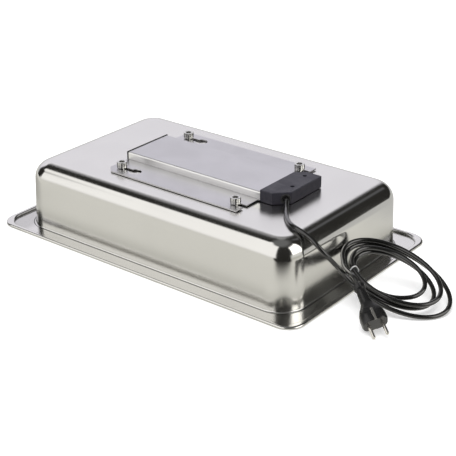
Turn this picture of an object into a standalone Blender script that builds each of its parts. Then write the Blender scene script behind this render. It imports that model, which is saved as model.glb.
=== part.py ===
"""Electrically heated water pan, bottom up, with its slide-on heater, lead and plug.

Metres, +Z up. The origin is on the surface that the rim lies on, at the middle of the pan.
The long sides run along X, and the heater slides off its four screws towards -X.
"""

import math

import bmesh
import bpy
from mathutils import Matrix, Vector

# Clearances and overruns
GAP = 0.0003
RUNNING_GAP = 0.0004
OVERRUN = 0.002

# Water pan, drawn from one sheet
PAN_LENGTH = 0.512
PAN_WIDTH = 0.306
PAN_HEIGHT = 0.104
PAN_SHEET = 0.0009
PAN_TAPER = 0.0038
PAN_CORNER = 0.042
PAN_EDGE = 0.028
FOOT_FILLET = 0.003
FLANGE_REACH = 0.030
FLANGE_CORNER = 0.028
BEAD_WIDTH = 0.008
BEAD_HEIGHT = 0.005
BEAD_TUCK = math.radians(203)

# Studs and screws that the heater hooks on to
SCREW_END_INSET = 0.017
SCREW_SIDE_INSET = 0.020
STUD_DIAMETER = 0.008
STUD_HEIGHT = 0.0034
STUD_BORE = 0.0054
STUD_BORE_DEPTH = 0.0026
HEAD_DIAMETER = 0.016
HEAD_HEIGHT = 0.0093
HEAD_CHAMFER = 0.0008
RIDGE_DEPTH = 0.00035
SOCKET_WIDTH = 0.008
SOCKET_DEPTH = 0.005
SHANK_DIAMETER = 0.0046

# Heater cover, a folded hat section
COVER_SHEET = 0.0015
COVER_LIFT = 0.0015
COVER_LENGTH = 0.254
COVER_WIDTH = 0.200
COVER_RISE = 0.0130
HAT_WIDTH = 0.094
HAT_END = 0.0027
BEND_RADIUS = 0.0025
CORNER_CUT = 0.012
SLIDE_TRAVEL = 0.027
SLOT_CLEARANCE = 0.0004
KEYHOLE_CLEARANCE = 0.0017
TONGUE_MARGIN = 0.00125
TONGUE_LENGTH = 0.008

# End cap of the hat section
CAP_LIP = 0.0020
CAP_PROUD = 0.0009
CAP_PLUG = 0.007
CAP_LIFT = 0.0009

# Heater inside the cover
PLATE_START = 0.0100
PLATE_END = 0.0080
PLATE_SIDE = 0.004
PLATE_THICKNESS = 0.002
ELEMENT_DIAMETER = 0.006
ELEMENT_RUNS = 4
ELEMENT_PITCH = 0.020
ELEMENT_MARGIN = 0.016
TERMINAL_REACH = 0.018
STRAP_WIDTH = 0.008
STRAP_SHEET = 0.0008
STRAP_X = 0.060
MAT_THICKNESS = 0.0026
THERMOSTAT_DIAMETER = 0.012
THERMOSTAT_HEIGHT = 0.0052
THERMOSTAT_X = -0.020
THERMOSTAT_NECK = 0.0012
FUSE_DIAMETER = 0.004
FUSE_LENGTH = 0.014
FUSE_X = 0.030

# Connector housing at the right end of the cover
HOUSING_LENGTH = 0.0415
HOUSING_WIDTH = 0.0965
HOUSING_LIFT = 0.0010
HOUSING_HEIGHT = 0.0185
HOUSING_WALL = 0.0022
HOUSING_BEVEL = 0.0009
FRONT_CHAMFER = 0.0200
REAR_CHAMFER = 0.0140
BASE_THICKNESS = 0.002
PILLAR_DIAMETER = 0.0085
RECESS_DIAMETER = 0.0066
RECESS_FLOOR = 0.0016
RECESS_WALL = 0.0014
LID_SCREW_HEAD = 0.0056
LID_SCREW_HEAD_HEIGHT = 0.0020
LID_SCREW_SHANK = 0.0028
LID_SCREW_LENGTH = 0.0060
PILLAR_TOP = 0.0070
FRONT_SCREW_INSET = 0.0110
FRONT_SCREW_SIDE = 0.03775
REAR_SCREW_INSET = 0.0195
REAR_SCREW_SIDE = 0.01525
BLOCK_LENGTH = 0.010
BLOCK_WIDTH = 0.030
BLOCK_HEIGHT = 0.0085
BLOCK_Y = 0.002
BLOCK_INSET = 0.0150
BLOCK_POLES = 3
BLOCK_HOLE = 0.0036
LEAD_DIAMETER = 0.0020
LEAD_PULL = 0.0080
LEAD_POINTS = 10

# Cable gland in the housing's front corner
GLAND_SHARE = 0.70
GLAND_HEIGHT = 0.0085
GLAND_DIAMETER = 0.0130
GLAND_LIP_DIAMETER = 0.0152
GLAND_LIP = 0.0014
GLAND_LENGTH = 0.018
GLAND_TAIL_DIAMETER = 0.0096
GLAND_MOUTH = 0.0106

# Lead, and where its hank lies against the pan's right wall
CORD_DIAMETER = 0.0066
CORD_SPACING = 0.0150
HANK_FOOT = Vector((0.4088, -0.0441, 0.0055))
HANK_HEADING = math.radians(56)
HANK_SLOPE = math.atan(0.35)
HANK_TURN = math.radians(33.3)
HANK_OUTER = (0.0588, 0.0923)
HANK_INNER = (0.0357, 0.0486)
HANK_OUTER_MIDDLE = (-0.0090, 0.0841)
HANK_INNER_MIDDLE = (-0.0184, 0.0865)
HANK_TURNS = 4
HANK_START = math.radians(177)
HANK_FINISH = math.radians(125)
HANK_LAST_SHARE = 0.20
POINTS_PER_TURN = 24
LAYER_RISE = 0.0074
TAIL_POINTS = 5
TAIL_PULL = 0.024
TIE_ANGLE = math.radians(138)
TIE_DIAMETER = 0.0016

# The lead's free route from the gland to the hank
CORD_ROUTE = [
    (0.1741, -0.0433, 0.1112),
    (0.1901, -0.0676, 0.1084),
    (0.2073, -0.0850, 0.1077),
    (0.2206, -0.0934, 0.1081),
    (0.2354, -0.0972, 0.1070),
    (0.2546, -0.0968, 0.0988),
    (0.2700, -0.0985, 0.0894),
    (0.2796, -0.0899, 0.0746),
    (0.2862, -0.0817, 0.0622),
    (0.2867, -0.0677, 0.0466),
    (0.2938, -0.0624, 0.0367),
    (0.3011, -0.0601, 0.0302),
]

# Plug
PLUG_TAIL = Vector((0.3206, -0.0811, 0.0460))
PLUG_AIM = Vector((0.0649, -0.0408, -0.0405))
PLUG_ROLL = math.radians(-14)
PLUG_LENGTH = 0.0672
PLUG_HALF_WIDTH = 0.0180
PLUG_HALF_HEIGHT = 0.0150
PIN_DIAMETER = 0.0048
PIN_LENGTH = 0.0195
PIN_SPACING = 0.0190
PIN_ROOT = 0.006
PIN_TIP = 0.0015
CLIP_WIDTH = 0.0050
CLIP_SHEET = 0.0008
CLIP_LENGTH = 0.0190
CLIP_CHANNEL = 0.0022
CLIP_BULGE = 0.0007

# Faces on curved pieces
ROUND_STEPS = 36
SMALL_STEPS = 16
CORNER_STEPS = 8
EDGE_STEPS = 8
BEND_STEPS = 4

# Places that follow from the sizes above
SCREW_X = COVER_LENGTH / 2 - SCREW_END_INSET
SCREW_Y = COVER_WIDTH / 2 - SCREW_SIDE_INSET
TONGUE_WIDTH = HOUSING_WIDTH - 2 * REAR_CHAMFER - 2 * TONGUE_MARGIN
FRONT_SCREW_Y = FRONT_SCREW_SIDE - HOUSING_WIDTH / 2
REAR_SCREW_Y = HOUSING_WIDTH / 2 - REAR_SCREW_SIDE
PAN_TOP = PAN_HEIGHT
COVER_BOTTOM = PAN_TOP + COVER_LIFT
FLANGE_TOP = COVER_BOTTOM + COVER_SHEET
HAT_TOP = COVER_BOTTOM + COVER_RISE
HAT_CEILING = HAT_TOP - COVER_SHEET
PLATE_WIDTH = HAT_WIDTH - 2 * PLATE_SIDE
PLATE_BOTTOM = PAN_TOP + GAP
PLATE_TOP = PLATE_BOTTOM + PLATE_THICKNESS
ELEMENT_Z = PLATE_TOP + GAP + ELEMENT_DIAMETER / 2
STRAP_BOTTOM = PLATE_TOP + ELEMENT_DIAMETER + 2 * GAP
MAT_BOTTOM = STRAP_BOTTOM + STRAP_SHEET + GAP
HAT_RIGHT = COVER_LENGTH / 2 + HAT_END
HOUSING_LEFT = HAT_RIGHT + GAP
HOUSING_RIGHT = HOUSING_LEFT + HOUSING_LENGTH
HOUSING_BOTTOM = PAN_TOP + HOUSING_LIFT
HOUSING_TOP = HOUSING_BOTTOM + HOUSING_HEIGHT
BASE_TOP = HOUSING_BOTTOM + BASE_THICKNESS
STUD_TOP = PAN_TOP + GAP + STUD_HEIGHT


def clear_scene():
    """Remove whatever the scene starts with."""
    for item in list(bpy.data.objects):
        bpy.data.objects.remove(item, do_unlink=True)


def material(name, colour, roughness, metallic=0.0):
    """A Principled material of one colour."""
    made = bpy.data.materials.new(name)
    made.use_nodes = True
    shader = made.node_tree.nodes["Principled BSDF"]
    shader.inputs["Base Color"].default_value = (*colour, 1.0)
    shader.inputs["Roughness"].default_value = roughness
    shader.inputs["Metallic"].default_value = metallic
    return made


def add_object(name, mesh, finish, angle=35):
    """Put a mesh into the scene under its node's name."""
    made = bpy.data.objects.new(name, mesh)
    bpy.context.scene.collection.objects.link(made)
    if finish is not None:
        mesh.materials.append(finish)
    mesh.shade_smooth()
    mesh.set_sharp_from_angle(angle=math.radians(angle))
    return made


def mesh_from(rings, name, closed=False):
    """Skin equal rings of points into one closed body, capped unless the rings close."""
    body = bmesh.new()
    loops = [[body.verts.new(point) for point in ring] for ring in rings]
    pairs = list(zip(loops, loops[1:]))
    if closed:
        pairs.append((loops[-1], loops[0]))
    for first, second in pairs:
        count = len(first)
        for k in range(count):
            body.faces.new((first[k], first[(k + 1) % count], second[(k + 1) % count], second[k]))
    if not closed:
        body.faces.new(loops[0])
        body.faces.new(loops[-1])
    bmesh.ops.recalc_face_normals(body, faces=body.faces)
    mesh = bpy.data.meshes.new(name)
    body.to_mesh(mesh)
    body.free()
    return mesh


def join_meshes(meshes, name):
    """One mesh that holds separate closed bodies, for cutters."""
    body = bmesh.new()
    for mesh in meshes:
        body.from_mesh(mesh)
    joined = bpy.data.meshes.new(name)
    body.to_mesh(joined)
    body.free()
    return joined


def guide(name, mesh):
    """A cutter, which shows as wire and isn't part of the object."""
    made = bpy.data.objects.new(name, mesh)
    bpy.context.scene.collection.objects.link(made)
    made.hide_render = True
    made.display_type = "WIRE"
    return made


def boolean(target, other, operation="DIFFERENCE"):
    """Cut or join another body with an exact Boolean."""
    step = target.modifiers.new(other.name, "BOOLEAN")
    step.object = other
    step.operation = operation
    step.solver = "EXACT"


def rounded_rectangle(length, width, radius, height, steps=CORNER_STEPS):
    """Points round a rectangle with arcs at its corners, at one height."""
    points = []
    middles = ((1, 1), (-1, 1), (-1, -1), (1, -1))
    for quarter, (along, across) in enumerate(middles):
        centre = Vector((along * (length / 2 - radius), across * (width / 2 - radius), height))
        for k in range(steps + 1):
            angle = math.pi / 2 * (quarter + k / steps)
            points.append(centre + radius * Vector((math.cos(angle), math.sin(angle), 0)))
    return points


def circle(radius, height, steps, ridge=0.0):
    """Points round a circle, with every other one drawn in by the ridge's depth."""
    points = []
    for k in range(steps):
        reach = radius - ridge * (k % 2)
        angle = math.tau * k / steps
        points.append(Vector((reach * math.cos(angle), reach * math.sin(angle), height)))
    return points


def hexagon(width, height, steps):
    """A hexagon of this width across its flats, with as many points as a circle."""
    points = []
    for k in range(steps):
        angle = math.tau * k / steps
        turn = (angle + math.pi / 6) % (math.pi / 3) - math.pi / 6
        reach = width / 2 / math.cos(turn)
        points.append(Vector((reach * math.cos(angle), reach * math.sin(angle), height)))
    return points


def arc(centre, radius, start, end, steps):
    """Points along an arc in a plane, both ends included."""
    points = []
    for k in range(steps + 1):
        angle = start + (end - start) * k / steps
        points.append((centre[0] + radius * math.cos(angle), centre[1] + radius * math.sin(angle)))
    return points


def prism(outline, bottom, top, name):
    """A flat outline carried from one height to another."""
    rings = [[Vector((x, y, level)) for x, y in outline] for level in (bottom, top)]
    return mesh_from(rings, name)


def box(low, high, name):
    """A plain box between two corners."""
    outline = [(low[0], low[1]), (high[0], low[1]), (high[0], high[1]), (low[0], high[1])]
    return prism(outline, low[2], high[2], name)


def tube(name, points, diameter, finish, resolution):
    """A round tube along points, with filled ends."""
    curve = bpy.data.curves.new(name, "CURVE")
    curve.dimensions = "3D"
    curve.bevel_depth = diameter / 2
    curve.bevel_resolution = resolution
    curve.use_fill_caps = True
    spline = curve.splines.new("POLY")
    spline.points.add(len(points) - 1)
    for spot, point in zip(spline.points, points):
        spot.co = (*point, 1.0)
    made = bpy.data.objects.new(name, curve)
    curve.materials.append(finish)
    bpy.context.scene.collection.objects.link(made)
    return made


def smooth_route(stops, spacing):
    """Points at an even spacing on a smooth curve through the stops."""
    stops = [Vector(stop) for stop in stops]
    ends = [2 * stops[0] - stops[1], *stops, 2 * stops[-1] - stops[-2]]
    fine = []
    for a, b, c, d in zip(ends, ends[1:], ends[2:], ends[3:]):
        for k in range(SMALL_STEPS):
            t = k / SMALL_STEPS
            bend = (2 * a - 5 * b + 4 * c - d) * t * t + (3 * b - a - 3 * c + d) * t**3
            fine.append(b + ((c - a) * t + bend) / 2)
    fine.append(stops[-1])
    lengths = [0.0]
    for first, second in zip(fine, fine[1:]):
        lengths.append(lengths[-1] + (second - first).length)
    count = max(2, round(lengths[-1] / spacing))
    points = []
    place = 0
    for k in range(count + 1):
        wanted = lengths[-1] * k / count
        while place < len(fine) - 2 and lengths[place + 1] < wanted:
            place += 1
        share = (wanted - lengths[place]) / (lengths[place + 1] - lengths[place])
        points.append(fine[place].lerp(fine[place + 1], share))
    return points


def bend_between(handles, count):
    """Points of a smooth bend that leaves and arrives along its two handles."""
    points = []
    for k in range(count + 1):
        t = k / count
        weights = ((1 - t) ** 3, 3 * t * (1 - t) ** 2, 3 * t * t * (1 - t), t**3)
        points.append(sum((w * handle for w, handle in zip(weights, handles)), Vector()))
    return points


def mirrored(values):
    """Each value with its opposite, for pieces in pairs."""
    return [sign * value for value in values for sign in (-1, 1)]


# Water pan


def pan_skin(side):
    """One face of the pan's sheet from the middle of its bottom to the rim's tuck.

    Each point is its distance outside the foot of the wall, and its height. The side is 1
    for the face seen from above and -1 for the face inside the pan.
    """
    half = side * PAN_SHEET / 2
    lean = math.atan(PAN_TAPER / PAN_HEIGHT)
    level = PAN_SHEET / 2
    foot_centre = (FOOT_FILLET, level + FOOT_FILLET)
    edge_radius = PAN_EDGE - PAN_SHEET / 2
    edge_z = PAN_HEIGHT - PAN_EDGE
    wall_z = edge_z + edge_radius * math.sin(lean)
    wall_x = foot_centre[0] - FOOT_FILLET * math.cos(lean)
    wall_x -= (wall_z - foot_centre[1]) * math.tan(lean)
    edge_centre = (wall_x - edge_radius * math.cos(lean), edge_z)
    curl = BEAD_HEIGHT / 2
    curl_radius = curl - PAN_SHEET / 2 - half
    outer_centre = (FLANGE_REACH - curl, curl)
    inner_centre = (FLANGE_REACH - BEAD_WIDTH + curl, curl)
    points = arc(edge_centre, edge_radius + half, math.pi / 2, lean, EDGE_STEPS)
    points += arc(foot_centre, FOOT_FILLET - half, math.pi + lean, 1.5 * math.pi, BEND_STEPS)
    points += arc(outer_centre, curl_radius, -math.pi / 2, math.pi / 2, BEND_STEPS + 1)
    points += arc(inner_centre, curl_radius, math.pi / 2, BEAD_TUCK, BEND_STEPS)
    return points


def pan_ring(reach, height):
    """The pan's outline at this distance outside the foot of its wall."""
    if reach > 0:
        radius = PAN_CORNER + (FLANGE_CORNER - PAN_CORNER) * reach / FLANGE_REACH
    else:
        radius = PAN_CORNER + reach
    return rounded_rectangle(PAN_LENGTH + 2 * reach, PAN_WIDTH + 2 * reach, radius, height)


def make_pan(finish):
    """The drawn pan with its flat flange and rolled rim, bottom up."""
    seen = pan_skin(1)
    inside = pan_skin(-1)
    rings = [pan_ring(*point) for point in seen + inside[::-1]]
    add_object("water_pan", mesh_from(rings, "water_pan"), finish)


# Studs and screws


def make_stud(name, place, finish):
    """A welded stud with a blind bore, which fills the cover's slot."""
    bottom = PAN_TOP + GAP
    radius = STUD_DIAMETER / 2
    bore = STUD_BORE / 2
    rings = [
        circle(radius, bottom, SMALL_STEPS),
        circle(radius, STUD_TOP, SMALL_STEPS),
        circle(bore, STUD_TOP, SMALL_STEPS),
        circle(bore, STUD_TOP - STUD_BORE_DEPTH, SMALL_STEPS),
    ]
    stud = add_object(name, mesh_from(rings, name), finish)
    stud.location = place


def make_cap_screw(name, place, finish):
    """A ridged cap screw with a hexagon socket, its shank in the stud's bore."""
    radius = HEAD_DIAMETER / 2
    rim = radius - HEAD_CHAMFER
    shank = SHANK_DIAMETER / 2
    seat = STUD_TOP + GAP
    top = seat + HEAD_HEIGHT
    shank_end = STUD_TOP - STUD_BORE_DEPTH + GAP
    rings = [
        circle(shank, shank_end, ROUND_STEPS),
        circle(shank, seat, ROUND_STEPS),
        circle(rim, seat, ROUND_STEPS),
        circle(radius, seat + HEAD_CHAMFER, ROUND_STEPS, RIDGE_DEPTH),
        circle(radius, top - HEAD_CHAMFER, ROUND_STEPS, RIDGE_DEPTH),
        circle(rim, top, ROUND_STEPS),
        hexagon(SOCKET_WIDTH + HEAD_CHAMFER, top, ROUND_STEPS),
        hexagon(SOCKET_WIDTH, top - HEAD_CHAMFER / 2, ROUND_STEPS),
        hexagon(SOCKET_WIDTH, top - SOCKET_DEPTH, ROUND_STEPS),
    ]
    screw = add_object(name, mesh_from(rings, name), finish)
    screw.location = place


def make_fixings(steel):
    """Four studs on the pan's bottom, each with its screw."""
    number = 0
    for along in (-SCREW_X, SCREW_X):
        for across in (-SCREW_Y, SCREW_Y):
            number += 1
            place = (along, across, 0)
            make_stud(f"stud_{number}", place, steel)
            make_cap_screw(f"cap_screw_{number}", place, steel)


# Heater cover


def hat_profile():
    """The folded sheet's closed outline across its width, both faces."""
    outer = HAT_WIDTH / 2
    bend = BEND_RADIUS
    inner_bend = bend - COVER_SHEET
    edge = COVER_WIDTH / 2
    root = outer + inner_bend
    above = [(edge, FLANGE_TOP)]
    above += arc((root, FLANGE_TOP + inner_bend), inner_bend, -math.pi / 2, -math.pi, BEND_STEPS)
    above += arc((outer - bend, HAT_TOP - bend), bend, 0, math.pi / 2, BEND_STEPS)
    below = [(edge, COVER_BOTTOM)]
    below += arc((root, COVER_BOTTOM + bend), bend, -math.pi / 2, -math.pi, BEND_STEPS)
    below += arc((outer - bend, HAT_CEILING - inner_bend), inner_bend, 0, math.pi / 2, BEND_STEPS)
    left_above = [(-y, z) for y, z in reversed(above)]
    left_below = [(-y, z) for y, z in below]
    return above + left_above + left_below + below[::-1]


def keyhole(side):
    """The outline of one keyhole: a slot at the screw that widens to pass its head."""
    slot = STUD_DIAMETER / 2 + SLOT_CLEARANCE
    opening = HEAD_DIAMETER / 2 + KEYHOLE_CLEARANCE
    throat = math.asin(slot / opening)
    middle = (-SCREW_X, side * SCREW_Y)
    wide = (SLIDE_TRAVEL - SCREW_X, side * SCREW_Y)
    points = arc(middle, slot, math.pi / 2, 1.5 * math.pi, SMALL_STEPS // 2)
    points += arc(wide, opening, math.pi + throat, 3 * math.pi - throat, ROUND_STEPS // 2)
    return points


def notch(side):
    """The outline of one slot that runs out through the cover's right edge."""
    slot = STUD_DIAMETER / 2 + SLOT_CLEARANCE
    middle = (SCREW_X, side * SCREW_Y)
    end = COVER_LENGTH / 2 + OVERRUN
    points = arc(middle, slot, math.pi / 2, 1.5 * math.pi, SMALL_STEPS // 2)
    return points + [(end, middle[1] - slot), (end, middle[1] + slot)]


def hole_cutter():
    """The keyholes, the notches and the left corners, cut through the flanges."""
    low = COVER_BOTTOM - OVERRUN
    high = FLANGE_TOP + OVERRUN
    left = -COVER_LENGTH / 2
    edge = COVER_WIDTH / 2
    bodies = []
    for side in (-1, 1):
        bodies.append(prism(keyhole(side), low, high, "keyhole"))
        bodies.append(prism(notch(side), low, high, "notch"))
        corner = [
            (left - OVERRUN, side * (edge + OVERRUN)),
            (left - OVERRUN, side * (edge - CORNER_CUT - OVERRUN)),
            (left + CORNER_CUT + OVERRUN, side * (edge + OVERRUN)),
        ]
        bodies.append(prism(corner, low, high, "corner"))
    return join_meshes(bodies, "cover_holes")


def end_cutter():
    """What is cut away at the right end, past the flanges and beside the tongue."""
    low = COVER_BOTTOM - OVERRUN
    high = HAT_TOP + OVERRUN
    foot = HAT_WIDTH / 2 + BEND_RADIUS
    tongue = TONGUE_WIDTH / 2
    far = HAT_RIGHT + TONGUE_LENGTH + OVERRUN
    outer = COVER_WIDTH / 2 + OVERRUN
    bodies = []
    for side in (-1, 1):
        outline = [
            (COVER_LENGTH / 2, side * outer),
            (COVER_LENGTH / 2, side * foot),
            (HAT_RIGHT, side * foot),
            (HAT_RIGHT, side * tongue),
            (far, side * tongue),
            (far, side * outer),
        ]
        bodies.append(prism(outline, low, high, "end"))
    return join_meshes(bodies, "cover_ends")


def make_cover(finish):
    """The folded cover with its keyholes, notches, cut corners and housing tongue."""
    start = -COVER_LENGTH / 2
    end = HAT_RIGHT + TONGUE_LENGTH
    rings = [[Vector((x, y, z)) for y, z in hat_profile()] for x in (start, end)]
    cover = add_object("heater_cover", mesh_from(rings, "heater_cover"), finish)
    boolean(cover, guide("cover_ends", end_cutter()))
    boolean(cover, guide("cover_holes", hole_cutter()))


def make_end_cap(finish):
    """The cap that closes the hat's left end: a lip, and a plug inside the hat."""
    left = -COVER_LENGTH / 2 - GAP
    half = HAT_WIDTH / 2 + CAP_PROUD
    bottom = PAN_TOP + CAP_LIFT
    top = HAT_TOP + CAP_PROUD
    plug_half = HAT_WIDTH / 2 - BEND_RADIUS - GAP
    plug_top = HAT_CEILING - GAP
    lip_end = left - CAP_LIP
    soft = CAP_LIP / 4
    def section(x, wide, low, high):
        return [Vector((x, y, z)) for y, z in ((-wide, low), (wide, low), (wide, high), (-wide, high))]
    rings = [
        section(lip_end, half - soft, bottom + soft, top - soft),
        section(lip_end + soft, half, bottom, top),
        section(left, half, bottom, top),
        section(left, plug_half, PLATE_TOP + GAP, plug_top),
        section(left + CAP_PLUG, plug_half, PLATE_TOP + GAP, plug_top),
    ]
    add_object("end_cap", mesh_from(rings, "end_cap"), finish)


# Heater inside the cover


def plate_ends():
    """Where the heating plate starts and ends along X."""
    return PLATE_START - COVER_LENGTH / 2, COVER_LENGTH / 2 - PLATE_END


def make_plate(finish):
    """The aluminium plate that spreads the heat over the pan's bottom."""
    start, end = plate_ends()
    half = PLATE_WIDTH / 2
    mesh = box((start, -half, PLATE_BOTTOM), (end, half, PLATE_TOP), "spreader_plate")
    add_object("spreader_plate", mesh, finish)


def make_element(finish):
    """One tubular element laid to and fro on the plate, both ends at the housing."""
    start, end = plate_ends()
    near = start + ELEMENT_MARGIN
    far = end - ELEMENT_MARGIN - ELEMENT_PITCH / 2
    finish_x = end - TERMINAL_REACH / 2
    bend = ELEMENT_PITCH / 2
    first = -ELEMENT_PITCH * (ELEMENT_RUNS - 1) / 2
    points = [(finish_x, first)]
    for run in range(ELEMENT_RUNS - 1):
        middle = first + ELEMENT_PITCH * (run + 0.5)
        leftward = run % 2 == 0
        turn_x = near + bend if leftward else far - bend
        sweep = -math.pi if leftward else math.pi
        points += arc((turn_x, middle), bend, -math.pi / 2, -math.pi / 2 + sweep, EDGE_STEPS)
    points.append((finish_x, -first))
    route = [Vector((x, y, ELEMENT_Z)) for x, y in points]
    tube("heating_element", route, ELEMENT_DIAMETER, finish, 2)


def make_strap(name, middle, finish):
    """A strap across the element's runs with its feet on the plate."""
    reach = ELEMENT_PITCH * (ELEMENT_RUNS - 1) / 2 + ELEMENT_DIAMETER / 2 + GAP
    outer = reach + STRAP_SHEET
    foot = PLATE_TOP + GAP
    top = STRAP_BOTTOM + STRAP_SHEET
    outline = [
        (-outer, foot),
        (-reach, foot),
        (-reach, STRAP_BOTTOM),
        (reach, STRAP_BOTTOM),
        (reach, foot),
        (outer, foot),
        (outer, top),
        (-outer, top),
    ]
    half = STRAP_WIDTH / 2
    rings = [[Vector((x, y, z)) for y, z in outline] for x in (middle - half, middle + half)]
    add_object(name, mesh_from(rings, name), finish)


def make_mat(finish):
    """The insulation mat between the element and the cover."""
    start, end = plate_ends()
    half = PLATE_WIDTH / 2
    top = MAT_BOTTOM + MAT_THICKNESS
    mesh = box((start, -half, MAT_BOTTOM), (end, half, top), "insulation_mat")
    add_object("insulation_mat", mesh, finish)


def make_thermostat(finish):
    """The disc thermostat on the plate, between the middle runs."""
    radius = THERMOSTAT_DIAMETER / 2
    neck = radius - THERMOSTAT_NECK
    bottom = PLATE_TOP + GAP
    shoulder = bottom + THERMOSTAT_HEIGHT / 2
    top = bottom + THERMOSTAT_HEIGHT
    rings = [
        circle(radius, bottom, SMALL_STEPS),
        circle(radius, shoulder, SMALL_STEPS),
        circle(neck, shoulder, SMALL_STEPS),
        circle(neck, top, SMALL_STEPS),
    ]
    disc = add_object("thermostat", mesh_from(rings, "thermostat"), finish)
    disc.location = (THERMOSTAT_X, 0, 0)


def make_fuse(finish):
    """The thermal fuse on the plate, between two runs."""
    radius = FUSE_DIAMETER / 2
    shoulder = FUSE_LENGTH / 2 - radius / 2
    rings = [
        circle(radius / 2, -FUSE_LENGTH / 2, SMALL_STEPS),
        circle(radius, -shoulder, SMALL_STEPS),
        circle(radius, shoulder, SMALL_STEPS),
        circle(radius / 2, FUSE_LENGTH / 2, SMALL_STEPS),
    ]
    fuse = add_object("thermal_fuse", mesh_from(rings, "thermal_fuse"), finish)
    fuse.rotation_euler = (0, math.pi / 2, 0)
    fuse.location = (FUSE_X, ELEMENT_PITCH, PLATE_TOP + GAP + radius)


# Connector housing


def housing_outline(inset):
    """The housing's plan, drawn in by this much all round."""
    front = inset - HOUSING_WIDTH / 2
    rear = HOUSING_WIDTH / 2 - inset
    left = HOUSING_LEFT + inset
    right = HOUSING_RIGHT - inset
    shift = inset * (2 - math.sqrt(2))
    cut = FRONT_CHAMFER - shift
    back_cut = REAR_CHAMFER - shift
    return [
        (left, front),
        (right - cut, front),
        (right, front + cut),
        (right, rear),
        (left + back_cut, rear),
        (left, rear - back_cut),
    ]


def housing_screws():
    """Where the two screws stand that hold the housing together."""
    return [
        Vector((HOUSING_RIGHT - FRONT_SCREW_INSET, FRONT_SCREW_Y, 0)),
        Vector((HOUSING_RIGHT - REAR_SCREW_INSET, REAR_SCREW_Y, 0)),
    ]


def gland_frame():
    """The gland's place on the front chamfer, and its axis pointing out."""
    start = Vector((HOUSING_RIGHT - FRONT_CHAMFER, -HOUSING_WIDTH / 2, 0))
    end = Vector((HOUSING_RIGHT, FRONT_CHAMFER - HOUSING_WIDTH / 2, 0))
    middle = start.lerp(end, GLAND_SHARE)
    middle.z = HOUSING_BOTTOM + GLAND_HEIGHT
    axis = Vector((1, -1, 0)).normalized()
    return middle, axis


def turned(rings, place, axis, name):
    """A turned body whose own Z runs along an axis."""
    turn = axis.to_track_quat("Z", "Y").to_matrix().to_4x4()
    pose = Matrix.Translation(place) @ turn
    return mesh_from([[pose @ point for point in ring] for ring in rings], name)


def housing_cutters():
    """The cavity with the screw recesses' walls left standing, and the holes."""
    floor = BASE_TOP + PILLAR_TOP + GAP
    cavity = guide(
        "housing_cavity",
        prism(housing_outline(HOUSING_WALL), HOUSING_BOTTOM - OVERRUN, HOUSING_TOP - HOUSING_WALL, "cavity"),
    )
    wall = RECESS_DIAMETER / 2 + RECESS_WALL
    posts = []
    holes = []
    for place in housing_screws():
        post = [circle(wall, level, SMALL_STEPS) for level in (floor, HOUSING_TOP)]
        posts.append(mesh_from([[place + point for point in ring] for ring in post], "post"))
        recess = RECESS_DIAMETER / 2
        shank = LID_SCREW_SHANK / 2 + RUNNING_GAP
        hole = [
            circle(recess, HOUSING_TOP + OVERRUN, SMALL_STEPS),
            circle(recess, floor + RECESS_FLOOR, SMALL_STEPS),
            circle(shank, floor + RECESS_FLOOR, SMALL_STEPS),
            circle(shank, floor - OVERRUN, SMALL_STEPS),
        ]
        holes.append(mesh_from([[place + point for point in ring] for ring in hole], "hole"))
    boolean(cavity, guide("recess_posts", join_meshes(posts, "posts")))
    middle, axis = gland_frame()
    bore = GLAND_DIAMETER / 2 + GAP
    reach = HOUSING_WALL + OVERRUN
    gland_hole = [circle(bore, level, ROUND_STEPS) for level in (-reach, OVERRUN)]
    holes.append(turned(gland_hole, middle, axis, "gland_hole"))
    tongue = TONGUE_WIDTH / 2 + GAP
    low = (HOUSING_LEFT - OVERRUN, -tongue, HOUSING_BOTTOM - OVERRUN)
    high = (HOUSING_LEFT + HOUSING_WALL + OVERRUN / 2, tongue, HAT_TOP + GAP)
    holes.append(box(low, high, "mouth"))
    return cavity, guide("housing_holes", join_meshes(holes, "holes"))


def make_housing_cover(finish):
    """The moulded cover of the connector housing, open below."""
    rings = []
    levels = (
        (0, HOUSING_BOTTOM),
        (0, HOUSING_TOP - HOUSING_BEVEL),
        (HOUSING_BEVEL, HOUSING_TOP),
    )
    for inset, level in levels:
        rings.append([Vector((x, y, level)) for x, y in housing_outline(inset)])
    cover = add_object("housing_cover", mesh_from(rings, "housing_cover"), finish, 25)
    cavity, holes = housing_cutters()
    boolean(cover, cavity)
    boolean(cover, holes)


def make_housing_base(finish):
    """The base plate inside the cover's lower edge, with a pillar for each screw."""
    inset = HOUSING_WALL + GAP
    base = add_object("housing_base", prism(housing_outline(inset), HOUSING_BOTTOM, BASE_TOP, "base"), finish)
    pillars = []
    bores = []
    root = HOUSING_BOTTOM + BASE_THICKNESS / 2
    for place in housing_screws():
        pillar = [circle(PILLAR_DIAMETER / 2, level, SMALL_STEPS) for level in (root, BASE_TOP + PILLAR_TOP)]
        pillars.append(mesh_from([[place + point for point in ring] for ring in pillar], "pillar"))
        bore = LID_SCREW_SHANK / 2 + RUNNING_GAP
        depth = BASE_TOP + PILLAR_TOP + RECESS_FLOOR - LID_SCREW_LENGTH - GAP
        hole = [circle(bore, level, SMALL_STEPS) for level in (depth, BASE_TOP + PILLAR_TOP + OVERRUN)]
        bores.append(mesh_from([[place + point for point in ring] for ring in hole], "bore"))
    boolean(base, guide("base_pillars", join_meshes(pillars, "pillars")), "UNION")
    boolean(base, guide("pillar_bores", join_meshes(bores, "bores")))


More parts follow.
